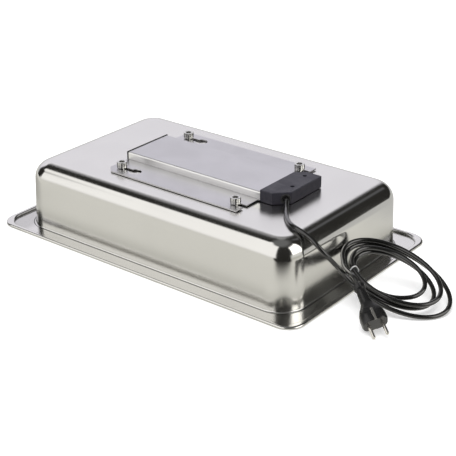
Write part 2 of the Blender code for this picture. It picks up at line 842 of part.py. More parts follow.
def make_lid_screws(finish):
    """The two screws down in the housing's recesses."""
    floor = BASE_TOP + PILLAR_TOP + GAP + RECESS_FLOOR
    seat = floor + GAP
    top = seat + LID_SCREW_HEAD_HEIGHT
    head = LID_SCREW_HEAD / 2
    shank = LID_SCREW_SHANK / 2
    soft = LID_SCREW_HEAD_HEIGHT / 4
    for number, place in enumerate(housing_screws(), 1):
        name = f"housing_screw_{number}"
        rings = [
            circle(shank, seat - LID_SCREW_LENGTH, SMALL_STEPS),
            circle(shank, seat, SMALL_STEPS),
            circle(head, seat, SMALL_STEPS),
            circle(head, top - soft, SMALL_STEPS),
            circle(head - soft, top, SMALL_STEPS),
        ]
        screw = add_object(name, mesh_from(rings, name), finish)
        screw.location = place


def make_gland(finish):
    """The tapered grommet that grips the lead in the housing's front chamfer."""
    middle, axis = gland_frame()
    lip = GLAND_LIP_DIAMETER / 2
    body = GLAND_DIAMETER / 2
    tail = GLAND_TAIL_DIAMETER / 2
    mouth = GLAND_MOUTH / 2
    back = -HOUSING_WALL - GAP
    bore_floor = -GLAND_LIP
    rings = [
        circle(tail, GLAND_LIP - GLAND_LENGTH, ROUND_STEPS),
        circle(body, back - GLAND_LIP, ROUND_STEPS),
        circle(body, GAP, ROUND_STEPS),
        circle(lip, GAP, ROUND_STEPS),
        circle(lip, GLAND_LIP / 2, ROUND_STEPS),
        circle(lip - GLAND_LIP / 2, GLAND_LIP, ROUND_STEPS),
        circle(mouth, GLAND_LIP, ROUND_STEPS),
        circle(mouth - GLAND_LIP / 2, bore_floor, ROUND_STEPS),
    ]
    add_object("cable_gland", turned(rings, middle, axis, "cable_gland"), finish)


def block_place():
    """The middle of the terminal block's underside."""
    return Vector((HOUSING_LEFT + BLOCK_INSET, BLOCK_Y, BASE_TOP + GAP))


def make_terminal_block(finish):
    """The terminal block inside the housing, with a clamp hole for each pole."""
    place = block_place()
    half = Vector((BLOCK_LENGTH / 2, BLOCK_WIDTH / 2, 0))
    low = place - half
    high = place + half + Vector((0, 0, BLOCK_HEIGHT))
    block = add_object("terminal_block", box(low, high, "terminal_block"), finish)
    pitch = BLOCK_WIDTH / BLOCK_POLES
    holes = []
    for pole in range(BLOCK_POLES):
        across = place.y + pitch * (pole - (BLOCK_POLES - 1) / 2)
        spot = Vector((place.x, across, place.z))
        levels = (BLOCK_HEIGHT / 2, BLOCK_HEIGHT + OVERRUN)
        ring = [circle(BLOCK_HOLE / 2, level, SMALL_STEPS) for level in levels]
        holes.append(mesh_from([[spot + point for point in loop] for loop in ring], "pole"))
    boolean(block, guide("pole_holes", join_meshes(holes, "poles")))


def make_leads(finishes):
    """Three inner leads from the gland's tail to the terminal block."""
    middle, axis = gland_frame()
    tail = middle + axis * (GLAND_LIP - GLAND_LENGTH - GAP)
    place = block_place()
    pitch = BLOCK_WIDTH / BLOCK_POLES
    target_x = place.x + BLOCK_LENGTH / 2 + GAP
    for pole, finish in enumerate(finishes):
        offset = pole - (BLOCK_POLES - 1) / 2
        level = offset * (LEAD_DIAMETER + GAP)
        start = tail + Vector((0, 0, level))
        end = Vector((target_x, place.y + pitch * offset, place.z + BLOCK_HEIGHT / 2 + level))
        handles = [start, start - axis * LEAD_PULL, end + Vector((LEAD_PULL, 0, 0)), end]
        route = bend_between(handles, LEAD_POINTS)
        tube(f"inner_lead_{pole + 1}", route, LEAD_DIAMETER, finish, 1)


# Lead, hank and tie


def hank_axes():
    """The hank's own axes: along its foot, up its slope, and square to both."""
    foot = Vector((math.cos(HANK_HEADING), math.sin(HANK_HEADING), 0))
    level = Vector((-foot.y, foot.x, 0))
    slope = level * math.cos(HANK_SLOPE) + Vector((0, 0, math.sin(HANK_SLOPE)))
    return foot, slope, foot.cross(slope)


def hank_point(angle, share, layer):
    """A point on a turn: share 0 is the largest loop and 1 the smallest."""
    foot, slope, square = hank_axes()
    across = HANK_OUTER[0] + (HANK_INNER[0] - HANK_OUTER[0]) * share
    along = HANK_OUTER[1] + (HANK_INNER[1] - HANK_OUTER[1]) * share
    middle = Vector(HANK_OUTER_MIDDLE).lerp(Vector(HANK_INNER_MIDDLE), share)
    turn = Matrix.Rotation(HANK_TURN, 2)
    flat = middle + turn @ Vector((across * math.cos(angle), along * math.sin(angle)))
    return HANK_FOOT + foot * flat.x + slope * flat.y + square * LAYER_RISE * (layer - 0.5)


def hank_sweep():
    """The whole angle that the loops turn through, and where the spiral reverses."""
    sweep = math.tau * HANK_TURNS + HANK_FINISH - HANK_START
    return sweep, sweep / (2 - HANK_LAST_SHARE)


def hank_at(travel):
    """The loops' point after this angle of travel, spiralling in and then out again."""
    sweep, reverse = hank_sweep()
    share = travel / reverse if travel < reverse else 2 - travel / reverse
    climb = (travel - reverse) / math.pi + 0.5
    climb = min(1.0, max(0.0, climb))
    layer = climb * climb * (3 - 2 * climb)
    return hank_point(HANK_START + travel, share, layer)


def plug_pose():
    """The plug's frame: its own Z runs from its tail to its pins."""
    aim = PLUG_AIM.normalized()
    level = Vector((-aim.y, aim.x, 0)).normalized()
    upper = aim.cross(level)
    across = level * math.cos(PLUG_ROLL) - upper * math.sin(PLUG_ROLL)
    lift = aim.cross(across)
    turn = Matrix((across, lift, aim)).transposed().to_4x4()
    return Matrix.Translation(PLUG_TAIL) @ turn


def hank_points():
    """The hank's unbroken route: a straight start, the loops, and the tail to the plug."""
    sweep, _ = hank_sweep()
    count = round(sweep / math.tau * POINTS_PER_TURN)
    loops = [hank_at(sweep * k / count) for k in range(count + 1)]
    entry = (loops[1] - loops[0]).normalized()
    points = [loops[0] - entry * CORD_DIAMETER, *loops]
    aim = PLUG_AIM.normalized()
    end = PLUG_TAIL - aim * GAP
    leave = (loops[-1] - loops[-2]).normalized()
    handles = [loops[-1], loops[-1] + leave * TAIL_PULL]
    straight = end - aim * CORD_DIAMETER
    handles += [straight - aim * TAIL_PULL / 2, straight]
    return [*points, *bend_between(handles, TAIL_POINTS)[1:], end]


def least_gap(points, diameter):
    """The least clear distance between stretches of a route that aren't neighbours."""
    fine = []
    for first, second in zip(points, points[1:]):
        fine += [first.lerp(second, share / BEND_STEPS) for share in range(BEND_STEPS)]
    near = 2 * BEND_STEPS
    least = math.inf
    for k, point in enumerate(fine):
        for other in fine[k + near :]:
            least = min(least, (other - point).length)
    return least - diameter


def make_hank(finish):
    """The lead's loops, one unbroken tube from its free run to the plug."""
    points = hank_points()
    gap = least_gap(points, CORD_DIAMETER)
    length = sum((b - a).length for a, b in zip(points, points[1:]))
    print(f"cord_coil: least gap to itself {gap * 1000:.2f} mm, length {length:.3f} m")
    tube("cord_coil", points, CORD_DIAMETER, finish, 1)
    return points


def make_run(finish, hank):
    """The lead's free run from the gland, over the pan's edge and down to the hank."""
    middle, axis = gland_frame()
    start = middle + axis * (GLAND_LIP + GAP)
    entry = (hank[1] - hank[0]).normalized()
    end = hank[0] - entry * GAP
    stops = [start + axis * CORD_DIAMETER, *CORD_ROUTE]
    stops += [end - entry * 2 * CORD_DIAMETER, end - entry * CORD_DIAMETER]
    points = [start, *smooth_route(stops, CORD_SPACING), end]
    length = sum((b - a).length for a, b in zip(points, points[1:]))
    print(f"cord_run: {len(points)} points, length {length:.3f} m")
    tube("cord_run", points, CORD_DIAMETER, finish, 2)


def tie_frame():
    """The middle of the tied bundle, the way that it runs, and the way across it."""
    middle = hank_point(TIE_ANGLE, 0.5, 0.5)
    ahead = hank_point(TIE_ANGLE + math.tau / POINTS_PER_TURN, 0.5, 0.5)
    along = (ahead - middle).normalized()
    return middle, along, along.cross(hank_axes()[2])


def tie_strands(points):
    """Where the lead passes through the tie's plane, on the tie's side of the hank."""
    middle, along, _ = tie_frame()
    passes = []
    for first, second in zip(points, points[1:]):
        before = (first - middle).dot(along)
        after = (second - middle).dot(along)
        if before * after <= 0 and (first - middle).length < HANK_OUTER[0]:
            passes.append(first.lerp(second, before / (before - after)))
    return passes


def make_tie(finish, hank):
    """The pale wire tie round the gathered loops."""
    middle, along, foot = tie_frame()
    square = hank_axes()[2]
    # The tail to the plug runs outside the tie
    passes = tie_strands(hank[: -TAIL_POINTS - 1])
    across = [(point - middle).dot(foot) for point in passes]
    up = [(point - middle).dot(square) for point in passes]
    clear = CORD_DIAMETER + TIE_DIAMETER + 2 * RUNNING_GAP
    length = max(across) - min(across) + clear
    width = max(up) - min(up) + clear
    shift = foot * (max(across) + min(across)) / 2 + square * (max(up) + min(up)) / 2
    path = rounded_rectangle(length, width, clear / 2, 0, BEND_STEPS)
    rings = []
    for k, point in enumerate(path):
        outward = Vector((point.x, point.y, 0)).normalized()
        ring = []
        for side in range(SMALL_STEPS // 2):
            angle = math.tau * side / (SMALL_STEPS // 2)
            wall = outward * math.cos(angle) + Vector((0, 0, 1)) * math.sin(angle)
            spot = point + wall * TIE_DIAMETER / 2
            ring.append(middle + shift + foot * spot.x + square * spot.y + along * spot.z)
        rings.append(ring)
    add_object("cord_tie", mesh_from(rings, "cord_tie", closed=True), finish)


# Plug


def plug_section(half_width, half_height, level, squareness=2.0):
    """A ring of the plug's body: rounder at 2, and squarer above it."""
    points = []
    for k in range(ROUND_STEPS):
        angle = math.tau * k / ROUND_STEPS
        x = math.copysign(abs(math.cos(angle)) ** (2 / squareness), math.cos(angle))
        y = math.copysign(abs(math.sin(angle)) ** (2 / squareness), math.sin(angle))
        points.append(Vector((half_width * x, half_height * y, level)))
    return points


PLUG_SHARES = [
    # share of length, width share, height share, squareness
    (0.000, 0.22, 0.26, 2.0),
    (0.030, 0.38, 0.46, 2.0),
    (0.055, 0.47, 0.57, 2.0),
    (0.150, 0.47, 0.57, 2.0),
    (0.180, 0.37, 0.45, 2.0),
    (0.440, 0.44, 0.52, 2.1),
    (0.520, 0.62, 0.60, 2.3),
    (0.600, 0.84, 0.74, 2.5),
    (0.700, 0.97, 0.90, 2.7),
    (0.800, 1.00, 0.98, 2.8),
    (0.960, 1.00, 1.00, 2.8),
    (1.000, 0.95, 0.94, 2.8),
]


def make_plug_body(finish):
    """The moulded plug: collar, neck, shoulders and a flat front face."""
    pose = plug_pose()
    rings = []
    for share, wide, high, squareness in PLUG_SHARES:
        ring = plug_section(PLUG_HALF_WIDTH * wide, PLUG_HALF_HEIGHT * high, PLUG_LENGTH * share, squareness)
        rings.append([pose @ point for point in ring])
    body = add_object("plug_body", mesh_from(rings, "plug_body"), finish)
    bodies = []
    bore = PIN_DIAMETER / 2 + GAP
    for across in mirrored([PIN_SPACING / 2]):
        spot = Vector((across, 0, 0))
        levels = (PLUG_LENGTH - PIN_ROOT - GAP, PLUG_LENGTH + OVERRUN)
        hole = [circle(bore, level, SMALL_STEPS) for level in levels]
        bodies.append(mesh_from([[pose @ (spot + point) for point in ring] for ring in hole], "pin_hole"))
    half = CLIP_WIDTH / 2 + GAP
    start = PLUG_LENGTH - CLIP_LENGTH - GAP
    for side in (-1, 1):
        floor = side * (PLUG_HALF_HEIGHT - CLIP_CHANNEL)
        outside = side * (PLUG_HALF_HEIGHT + OVERRUN)
        outline = [(-half, floor), (half, floor), (half, outside), (-half, outside)]
        levels = (start, PLUG_LENGTH + OVERRUN)
        rings = [[pose @ Vector((x, y, level)) for x, y in outline] for level in levels]
        bodies.append(mesh_from(rings, "clip_channel"))
    boolean(body, guide("plug_cuts", join_meshes(bodies, "plug_cuts")))


def make_pins(finish):
    """Two round pins, rooted in the plug's face."""
    pose = plug_pose()
    radius = PIN_DIAMETER / 2
    end = PLUG_LENGTH + PIN_LENGTH
    for number, across in enumerate(mirrored([PIN_SPACING / 2]), 1):
        name = f"plug_pin_{number}"
        spot = Vector((across, 0, 0))
        profile = [
            (radius, PLUG_LENGTH - PIN_ROOT),
            (radius, end - PIN_TIP),
            (radius - PIN_TIP / 3, end - PIN_TIP / 3),
            (radius - PIN_TIP, end),
        ]
        rings = [[pose @ (spot + point) for point in circle(*step, SMALL_STEPS)] for step in profile]
        add_object(name, mesh_from(rings, name), finish)


def make_clips(finish):
    """The earth clips, springy strips along the plug's upper and lower sides."""
    pose = plug_pose()
    half = CLIP_WIDTH / 2
    start = PLUG_LENGTH - CLIP_LENGTH
    end = PLUG_LENGTH
    for number, side in enumerate((-1, 1), 1):
        name = f"earth_clip_{number}"
        base = PLUG_HALF_HEIGHT - CLIP_CHANNEL + GAP
        rings = []
        for k in range(EDGE_STEPS + 1):
            share = k / EDGE_STEPS
            rise = CLIP_BULGE * math.sin(math.pi * share)
            low = side * (base + rise)
            high = side * (base + rise + CLIP_SHEET)
            level = start + (end - start) * share
            outline = ((-half, low), (half, low), (half, high), (-half, high))
            rings.append([pose @ Vector((x, y, level)) for x, y in outline])
        add_object(name, mesh_from(rings, name), finish)


def main():
    """Build every piece."""
    clear_scene()
    stainless = material("stainless", (0.74, 0.74, 0.73), 0.22, 1.0)
    bright = material("bright_steel", (0.78, 0.78, 0.76), 0.18, 1.0)
    satin = material("satin_steel", (0.62, 0.62, 0.64), 0.45, 1.0)
    aluminium = material("aluminium", (0.80, 0.80, 0.80), 0.35, 1.0)
    sheath = material("element_sheath", (0.35, 0.36, 0.34), 0.45, 1.0)
    wool = material("insulation", (0.86, 0.84, 0.78), 0.95)
    moulding = material("black_moulding", (0.045, 0.045, 0.055), 0.45)
    rubber = material("black_rubber", (0.02, 0.02, 0.02), 0.55)
    cord = material("cord_sheath", (0.012, 0.012, 0.013), 0.28)
    nickel = material("nickel", (0.80, 0.78, 0.74), 0.2, 1.0)
    pale = material("pale_wire", (0.70, 0.70, 0.69), 0.4)
    ceramic = material("ceramic", (0.85, 0.83, 0.78), 0.5)
    leads = [
        material("lead_brown", (0.16, 0.06, 0.03), 0.4),
        material("lead_green", (0.10, 0.35, 0.08), 0.4),
        material("lead_blue", (0.03, 0.12, 0.40), 0.4),
    ]
    make_pan(stainless)
    make_fixings(bright)
    make_cover(satin)
    make_end_cap(rubber)
    make_plate(aluminium)
    make_element(sheath)
    make_strap("element_strap_1", -STRAP_X, satin)
    make_strap("element_strap_2", STRAP_X, satin)
    make_mat(wool)
    make_thermostat(ceramic)
    make_fuse(nickel)
    make_housing_cover(moulding)
    make_housing_base(moulding)
    make_lid_screws(bright)
    make_gland(rubber)
    make_terminal_block(ceramic)
    make_leads(leads)
    hank = make_hank(cord)
    make_run(cord, hank)
    make_tie(pale, hank)
    make_plug_body(moulding)
    make_pins(nickel)
    make_clips(nickel)


main()
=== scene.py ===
import logging
import math
from collections.abc import Callable, Iterable, Sequence
from dataclasses import dataclass
from enum import Enum

import bmesh
import bpy
from mathutils import Matrix, Vector


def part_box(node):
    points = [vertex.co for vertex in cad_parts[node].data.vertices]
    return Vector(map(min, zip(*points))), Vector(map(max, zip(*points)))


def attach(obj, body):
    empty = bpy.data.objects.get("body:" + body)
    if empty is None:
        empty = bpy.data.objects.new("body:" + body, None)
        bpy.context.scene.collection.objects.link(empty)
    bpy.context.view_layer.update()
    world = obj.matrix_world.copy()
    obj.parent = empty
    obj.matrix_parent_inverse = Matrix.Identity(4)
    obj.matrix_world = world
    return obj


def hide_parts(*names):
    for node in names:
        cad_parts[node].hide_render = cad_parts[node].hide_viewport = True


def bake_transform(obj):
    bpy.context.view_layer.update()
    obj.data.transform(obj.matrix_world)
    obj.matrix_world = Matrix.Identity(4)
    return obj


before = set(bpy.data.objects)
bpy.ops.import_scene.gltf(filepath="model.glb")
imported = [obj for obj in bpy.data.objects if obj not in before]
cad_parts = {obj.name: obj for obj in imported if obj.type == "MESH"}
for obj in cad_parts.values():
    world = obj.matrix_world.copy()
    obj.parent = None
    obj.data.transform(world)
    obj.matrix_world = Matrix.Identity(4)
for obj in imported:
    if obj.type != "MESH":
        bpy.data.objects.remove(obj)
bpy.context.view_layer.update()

logging.basicConfig(level=logging.INFO, format="%(message)s")
log = logging.getLogger("heated_pan")

# In metres: between parts, beside a moving or wrapped one, and past a cut's far side
GAP = 0.0003
RUNNING_GAP = 0.0004
OVERRUN = 0.002
SMOOTH_BELOW = math.radians(50)
QUARTER = math.pi / 2
# Points round a small hole and round a larger body
ROUND_STEPS = 32
RING_STEPS = 64
Pair = tuple[float, float]
Triple = tuple[float, float, float]
Rings = list[list[Vector]]
Socket = bpy.types.NodeSocket
Node = bpy.types.Node
Mesh = bpy.types.Mesh
Piece = bpy.types.Object
Given = Callable[[str], Socket]
BLACK = (0.0, 0.0, 0.0)
# Numbers of the mix node's colour sockets
FIRST_COLOUR = 6
SECOND_COLOUR = 7


class Body(Enum):
    """The two bodies that pieces ride on."""

    ROOT = "root"
    HEATER = "heater"


class Edge(Enum):
    """How far a piece's edges are broken, in metres."""

    NONE = 0.0
    SHEARED = 0.00022


# Node graphs


class Graph:
    """A node tree with short calls that add nodes and join them."""

    def __init__(self, tree: bpy.types.NodeTree) -> None:
        """Start on a tree, and keep the nodes that it has."""
        self.tree = tree

    def feed(self, socket: Socket, value: object) -> None:
        """Set a socket to a number or vector, or link an output to it.

        Args:
            socket: The input to feed.
            value: A number, a tuple, or another node's output.
        """
        if isinstance(value, Socket):
            self.tree.links.new(value, socket)
        elif isinstance(value, tuple) and len(value) == 3 and socket.type == "RGBA":
            socket.default_value = (*value, 1.0)
        else:
            socket.default_value = value

    def add(self, kind: str, inputs: dict[str | int, object], **settings: object) -> Node:
        """Add a node with its settings and inputs.

        Args:
            kind: The node's type.
            inputs: What each named or numbered input is fed with.
            settings: The node's own options.

        Returns:
            The new node.
        """
        node = self.tree.nodes.new(kind)
        for key, value in settings.items():
            setattr(node, key, value)
        for key, value in inputs.items():
            self.feed(node.inputs[key], value)
        return node

    def math(self, operation: str, first: object, second: object = 0.0) -> Socket:
        """The result of one sum on one or two values."""
        return self.add("ShaderNodeMath", {0: first, 1: second}, operation=operation).outputs[0]

    def times(self, first: object, second: object) -> Socket:
        """The product of two values."""
        return self.math("MULTIPLY", first, second)

    def plus(self, first: object, second: object) -> Socket:
        """The sum of two values."""
        return self.math("ADD", first, second)

    def minus(self, first: object, second: object) -> Socket:
        """The difference of two values."""
        return self.math("SUBTRACT", first, second)

    def larger(self, first: object, second: object) -> Socket:
        """The larger of two values."""
        return self.math("MAXIMUM", first, second)

    def fill(self, name: str, inputs: dict[str, object]) -> None:
        """Feed a node that the tree came with."""
        for key, value in inputs.items():
            self.feed(self.tree.nodes[name].inputs[key], value)

    def step(
        self, value: object, low: object, high: object, bottom: object = 0.0, top: object = 1.0
    ) -> Socket:
        """A smooth step of a value from a bottom at its low limit to a top at its high one."""
        inputs = {0: value, 1: low, 2: high, 3: bottom, 4: top}
        return self.add("ShaderNodeMapRange", inputs, interpolation_type="SMOOTHSTEP").outputs[0]

    def mix(self, share: object, first: object, second: object) -> Socket:
        """Two colours mixed by a share."""
        inputs = {0: share, FIRST_COLOUR: first, SECOND_COLOUR: second}
        return self.add("ShaderNodeMix", inputs, data_type="RGBA").outputs[2]

    def noise(
        self, vector: object, scale: object, detail: float, distortion: float = 0.0
    ) -> Socket:
        """Noise of so many bumps to a metre over a place, with finer layers pushed about."""
        inputs = {"Vector": vector, "Scale": scale, "Detail": detail, "Distortion": distortion}
        return self.add("ShaderNodeTexNoise", inputs).outputs[0]

    def place(self, kind: str = "Object") -> Socket:
        """The place on the piece in metres, or another kind of coordinate."""
        return self.add("ShaderNodeTexCoord", {}).outputs[kind]

    def parts(self, kind: str = "Object") -> bpy.types.bpy_prop_collection:
        """The X, Y and Z of that coordinate."""
        return self.add("ShaderNodeSeparateXYZ", {0: self.place(kind)}).outputs


# Effects that several finishes share


@dataclass(frozen=True)
class Effect:
    """A shader node group: its sockets, and the method that fills it."""

    name: str
    inputs: dict[str, object]
    outputs: tuple[str, ...]
    fill: Callable[[Graph, Given], tuple[Socket, ...]]

    def group(self) -> bpy.types.NodeTree:
        """The group, built the first time that it is asked for.

        Returns:
            The shared node tree.
        """
        known = bpy.data.node_groups.get(self.name)
        if known is not None:
            return known
        tree = bpy.data.node_groups.new(self.name, "ShaderNodeTree")
        for name, value in self.inputs.items():
            kind = "NodeSocketVector" if isinstance(value, tuple) else "NodeSocketFloat"
            socket = tree.interface.new_socket(name=name, in_out="INPUT", socket_type=kind)
            socket.default_value = value
        for name in self.outputs:
            tree.interface.new_socket(name=name, in_out="OUTPUT", socket_type="NodeSocketFloat")
        graph = Graph(tree)
        given = graph.add("NodeGroupInput", {})
        made = self.fill(graph, given.outputs.get)
        graph.add("NodeGroupOutput", dict(zip(self.outputs, made)))
        return tree

    def use(self, graph: Graph, **values: object) -> Node:
        """Place the effect in a material with its own values."""
        return graph.add("ShaderNodeGroup", values, node_tree=self.group())


GRAIN_LIMITS = (0.35, 0.65)
EDGE_BREAKUP_LIMITS = (0.35, 0.6)


def fill_grain(graph: Graph, given: Given) -> tuple[Socket, ...]:
    """Grain or spark texture: fine noise, stretched into strokes where asked.

    Args:
        graph: The group's graph.
        given: Finds an input by its name.

    Returns:
        The mask and the height.
    """
    inputs = {0: graph.place(), 1: given("Stretch")}
    product = graph.add("ShaderNodeVectorMath", inputs, operation="MULTIPLY")
    fine = graph.noise(product.outputs[0], given("Scale"), detail=3.0)
    return graph.step(fine, *GRAIN_LIMITS), fine


def fill_smudges(graph: Graph, given: Given) -> tuple[Socket, ...]:
    """Soft handling marks: broad noise pushed about.

    Args:
        graph: The group's graph.
        given: Finds an input by its name.

    Returns:
        The mask.
    """
    soft = given("Softness")
    broad = graph.noise(graph.place(), given("Scale"), detail=4.0, distortion=0.8)
    return (graph.step(broad, graph.minus(0.5, soft), graph.plus(0.5, soft)),)


def fill_specks(graph: Graph, given: Given) -> tuple[Socket, ...]:
    """Small round specks, scattered.

    Args:
        graph: The group's graph.
        given: Finds an input by its name.

    Returns:
        The mask.
    """
    inputs = {"Vector": graph.place(), "Scale": given("Scale")}
    cells = graph.add("ShaderNodeTexVoronoi", inputs)
    shares = graph.add("ShaderNodeSeparateColor", {0: cells.outputs["Color"]})
    size = graph.times(given("Size"), shares.outputs[0])
    return (graph.step(cells.outputs["Distance"], size, 0.0),)


def fill_edge_wear_and_highlight(graph: Graph, given: Given) -> tuple[Socket, ...]:
    """Lighter outer edges, broken up by noise: wear, and on the black mouldings a painted edge
    highlight.

    Args:
        graph: The group's graph.
        given: Finds an input by its name.

    Returns:
        The mask.
    """
    point = graph.add("ShaderNodeNewGeometry", {}).outputs["Pointiness"]
    edge = graph.step(point, given("Start"), given("End"))
    broken = graph.step(graph.noise(graph.place(), given("Scale"), detail=3.0), *EDGE_BREAKUP_LIMITS)
    return (graph.times(edge, broken),)


def fill_ripple(graph: Graph, given: Given) -> tuple[Socket, ...]:
    """The slow waves of a formed surface, as a height in metres."""
    wave = graph.noise(graph.place(), given("Scale"), detail=1.0)
    return (graph.times(wave, given("Depth")),)


GRAIN = Effect("Grain", {"Stretch": (1, 1, 1), "Scale": 900.0}, ("Mask", "Height"), fill_grain)
SMUDGES = Effect("Smudges", {"Scale": 12.0, "Softness": 0.2}, ("Mask",), fill_smudges)
SPECKS = Effect("Specks", {"Scale": 700.0, "Size": 0.4}, ("Mask",), fill_specks)
EDGE_WEAR_AND_HIGHLIGHT = Effect("Edge wear and highlight", {"Start": 0.52, "End": 0.6, "Scale": 200.0}, ("Mask",), fill_edge_wear_and_highlight)
RIPPLE = Effect("Ripple", {"Scale": 9.0, "Depth": 0.0001}, ("Height",), fill_ripple)


# Finishes


@dataclass(frozen=True)
class Finish:
    """One finish: its colours, gloss, grain and marks, its wear, and the light and shade painted
    into some finishes.
    """

    name: str
    slot: str
    colour: Triple
    shade: Triple
    gloss: Pair
    metallic: float = 0.0
    stretch: Triple = (1, 1, 1)
    grain_scale: float = 900.0
    grain_depth: float = 0.000004
    grain_shade: float = 0.15
    smudge_scale: float = 14.0
    smudge_share: float = 0.35
    speck_scale: float = 600.0
    speck_share: float = 0.0
    speck_colour: Triple = (0.5, 0.5, 0.5)
    wear_and_highlight_colour: Triple = (0.6, 0.6, 0.6)
    wear_and_highlight_share: float = 0.0
    ripple_scale: float = 9.0
    ripple_depth: float = 0.0
    coat: float = 0.0
    coat_gloss: float = 0.12
    fuzz: float = 0.0
    glance: float = 0.5
    face_gloss: float = 0.0
    face_levels: Pair = (0.1005, 0.1036)
    wall_gloss: float = 0.0
    wall_levels: Pair = (0.079, 0.066)
    # Painted shade on the pan's low flange, with more at its left end
    flange_shade: float = 0.0
    flange_level: float = 0.006
    end_shade: float = 0.0
    end_line: Pair = (-0.225, -0.245)
    # The painted crease shade's line: the crease's half length, half width and corner radius
    crease: tuple[float, ...] = ()
    crease_width: float = 0.0013
    crease_shade: float = 0.85
    # Painted light by the fold: shade on the flange by its root, and a highlight colour on the
    # hat's sides
    fold_shade: float = 0.0
    fold_line: float = 0.048
    fold_reach: float = 0.016
    fold_levels: Pair = (0.1078, 0.1180)
    fold_blur: float = 0.0004
    fold_highlight_colour: Triple = (0.93, 0.93, 0.92)

    def heights(self, graph: Graph, grain: Node) -> Socket:
        """The finish's relief in metres.

        Args:
            graph: The material's graph.
            grain: The grain's node.

        Returns:
            A height for the Bump node.
        """
        fine = graph.times(grain.outputs["Height"], self.grain_depth)
        if not self.ripple_depth:
            return fine
        ripple = RIPPLE.use(graph, Scale=self.ripple_scale, Depth=self.ripple_depth)
        return graph.plus(fine, ripple.outputs["Height"])

    def tint(self, graph: Graph, grain: Node, smudges: Node) -> Socket:
        """The finish's colour over the surface, with any painted shade and highlight.

        Args:
            graph: The material's graph.
            grain: The grain's node.
            smudges: The handling marks' node.

        Returns:
            A colour for the shader.
        """
        handled = graph.times(smudges.outputs["Mask"], self.smudge_share)
        share = graph.plus(handled, graph.times(grain.outputs["Mask"], self.grain_shade))
        tint = graph.mix(share, self.colour, self.shade)
        if self.speck_share:
            specks = SPECKS.use(graph, Scale=self.speck_scale, Size=0.45).outputs["Mask"]
            tint = graph.mix(graph.times(specks, self.speck_share), tint, self.speck_colour)
        # Lighter outer edges: wear, and on the black mouldings a painted edge highlight
        if self.wear_and_highlight_share:
            worn_and_lit = EDGE_WEAR_AND_HIGHLIGHT.use(graph, Start=0.53, End=0.62, Scale=260.0).outputs["Mask"]
            tint = graph.mix(graph.times(worn_and_lit, self.wear_and_highlight_share), tint, self.wear_and_highlight_colour)
        # Painted shade: the pan's low flange darkened, much more at its left end, for darker
        # reflections there
        if self.flange_shade:
            along, _, level = graph.parts()
            shades = (self.flange_shade, self.flange_shade + self.end_shade)
            painted_shade = graph.step(along, *self.end_line, *shades)
            low = graph.step(level, self.flange_level, 0.0)
            tint = graph.mix(graph.times(low, painted_shade), tint, BLACK)
        # Painted shade: a dark line along the crease at the wall's foot
        if self.crease:
            tint = graph.mix(self.crease_shade_mask(graph, *self.crease), tint, BLACK)
        # Painted light by the fold: a highlight on the hat's sides, shade on the flange by their
        # root
        return self.folded(graph, tint) if self.fold_shade else tint

    def crease_shade_mask(self, graph: Graph, half_x: float, half_y: float, radius: float) -> Socket:
        """The mask of the painted shade along the crease, a dark line on a rounded rectangle round
        the flange.

        Args:
            graph: The material's graph.
            half_x: Half the crease's length.
            half_y: Half its width.
            radius: Its corners' radius.

        Returns:
            A mask.
        """
        x, y, level = graph.parts()
        squares = []
        for value, half in ((x, half_x), (y, half_y)):
            beyond = graph.minus(graph.math("ABSOLUTE", value), half - radius)
            squares.append(graph.math("POWER", graph.larger(beyond, 0.0), 2.0))
        reach = graph.math("SQRT", graph.plus(*squares))
        off = graph.math("ABSOLUTE", graph.minus(reach, radius))
        line = graph.step(off, self.crease_width, 0.0, 0.0, self.crease_shade)
        return graph.times(line, graph.step(level, self.flange_level, self.flange_level / 2))

    def folded(self, graph: Graph, tint: Socket) -> Socket:
        """The colour with the fold's painted light: a painted highlight on the hat's sides, and
        painted shade on the flange beside their root.

        Args:
            graph: The material's graph.
            tint: The colour without them.

        Returns:
            A colour for the shader.
        """
        _, across, level = graph.parts()
        low, high = self.fold_levels
        # Painted shade on the flange beside the step's root, then a painted highlight on the step
        # above it
        beyond = graph.minus(graph.math("ABSOLUTE", across), self.fold_line)
        near = graph.step(beyond, self.fold_reach, 0.0, 0.0, self.fold_shade)
        painted_shade = graph.times(near, graph.step(level, low, low - self.fold_blur))
        raised = graph.step(level, low, low + self.fold_blur)
        painted_highlight = graph.times(raised, graph.step(level, high + self.fold_blur, high))
        return graph.mix(painted_highlight, graph.mix(painted_shade, tint, BLACK), self.fold_highlight_colour)

    def roughness(self, graph: Graph, smudges: Node) -> Socket:
        """The finish's gloss, duller on the flat face and walls than where the press stretched it.

        Args:
            graph: The material's graph.
            smudges: The handling marks' node.

        Returns:
            A roughness for the shader.
        """
        rough = graph.step(smudges.outputs["Mask"], 0.0, 1.0, *self.gloss)
        if not self.face_gloss:
            return rough
        level = graph.parts()[2]
        rough = graph.plus(rough, graph.step(level, *self.face_levels, 0.0, self.face_gloss))
        return graph.plus(rough, graph.step(level, *self.wall_levels, 0.0, self.wall_gloss))

    def material(self) -> bpy.types.Material:
        """The finish as a material, built the first time that it is asked for.

        Returns:
            The shared material.
        """
        known = bpy.data.materials.get(self.name)
        if known is not None:
            return known
        made = bpy.data.materials.new(self.name)
        made.use_nodes = True
        graph = Graph(made.node_tree)
        grain = GRAIN.use(graph, Stretch=self.stretch, Scale=self.grain_scale)
        smudges = SMUDGES.use(graph, Scale=self.smudge_scale, Softness=0.22)
        relief = {"Height": self.heights(graph, grain), "Distance": 1.0, "Strength": 1.0}
        inputs = {
            "Base Color": self.tint(graph, grain, smudges),
            "Roughness": self.roughness(graph, smudges),
            "Normal": graph.add("ShaderNodeBump", relief).outputs[0],
            "Metallic": self.metallic,
            "Coat Weight": self.coat,
            "Coat Roughness": self.coat_gloss,
            "Sheen Weight": self.fuzz,
            "Specular IOR Level": self.glance,
        }
        graph.fill("Principled BSDF", inputs)
        return made


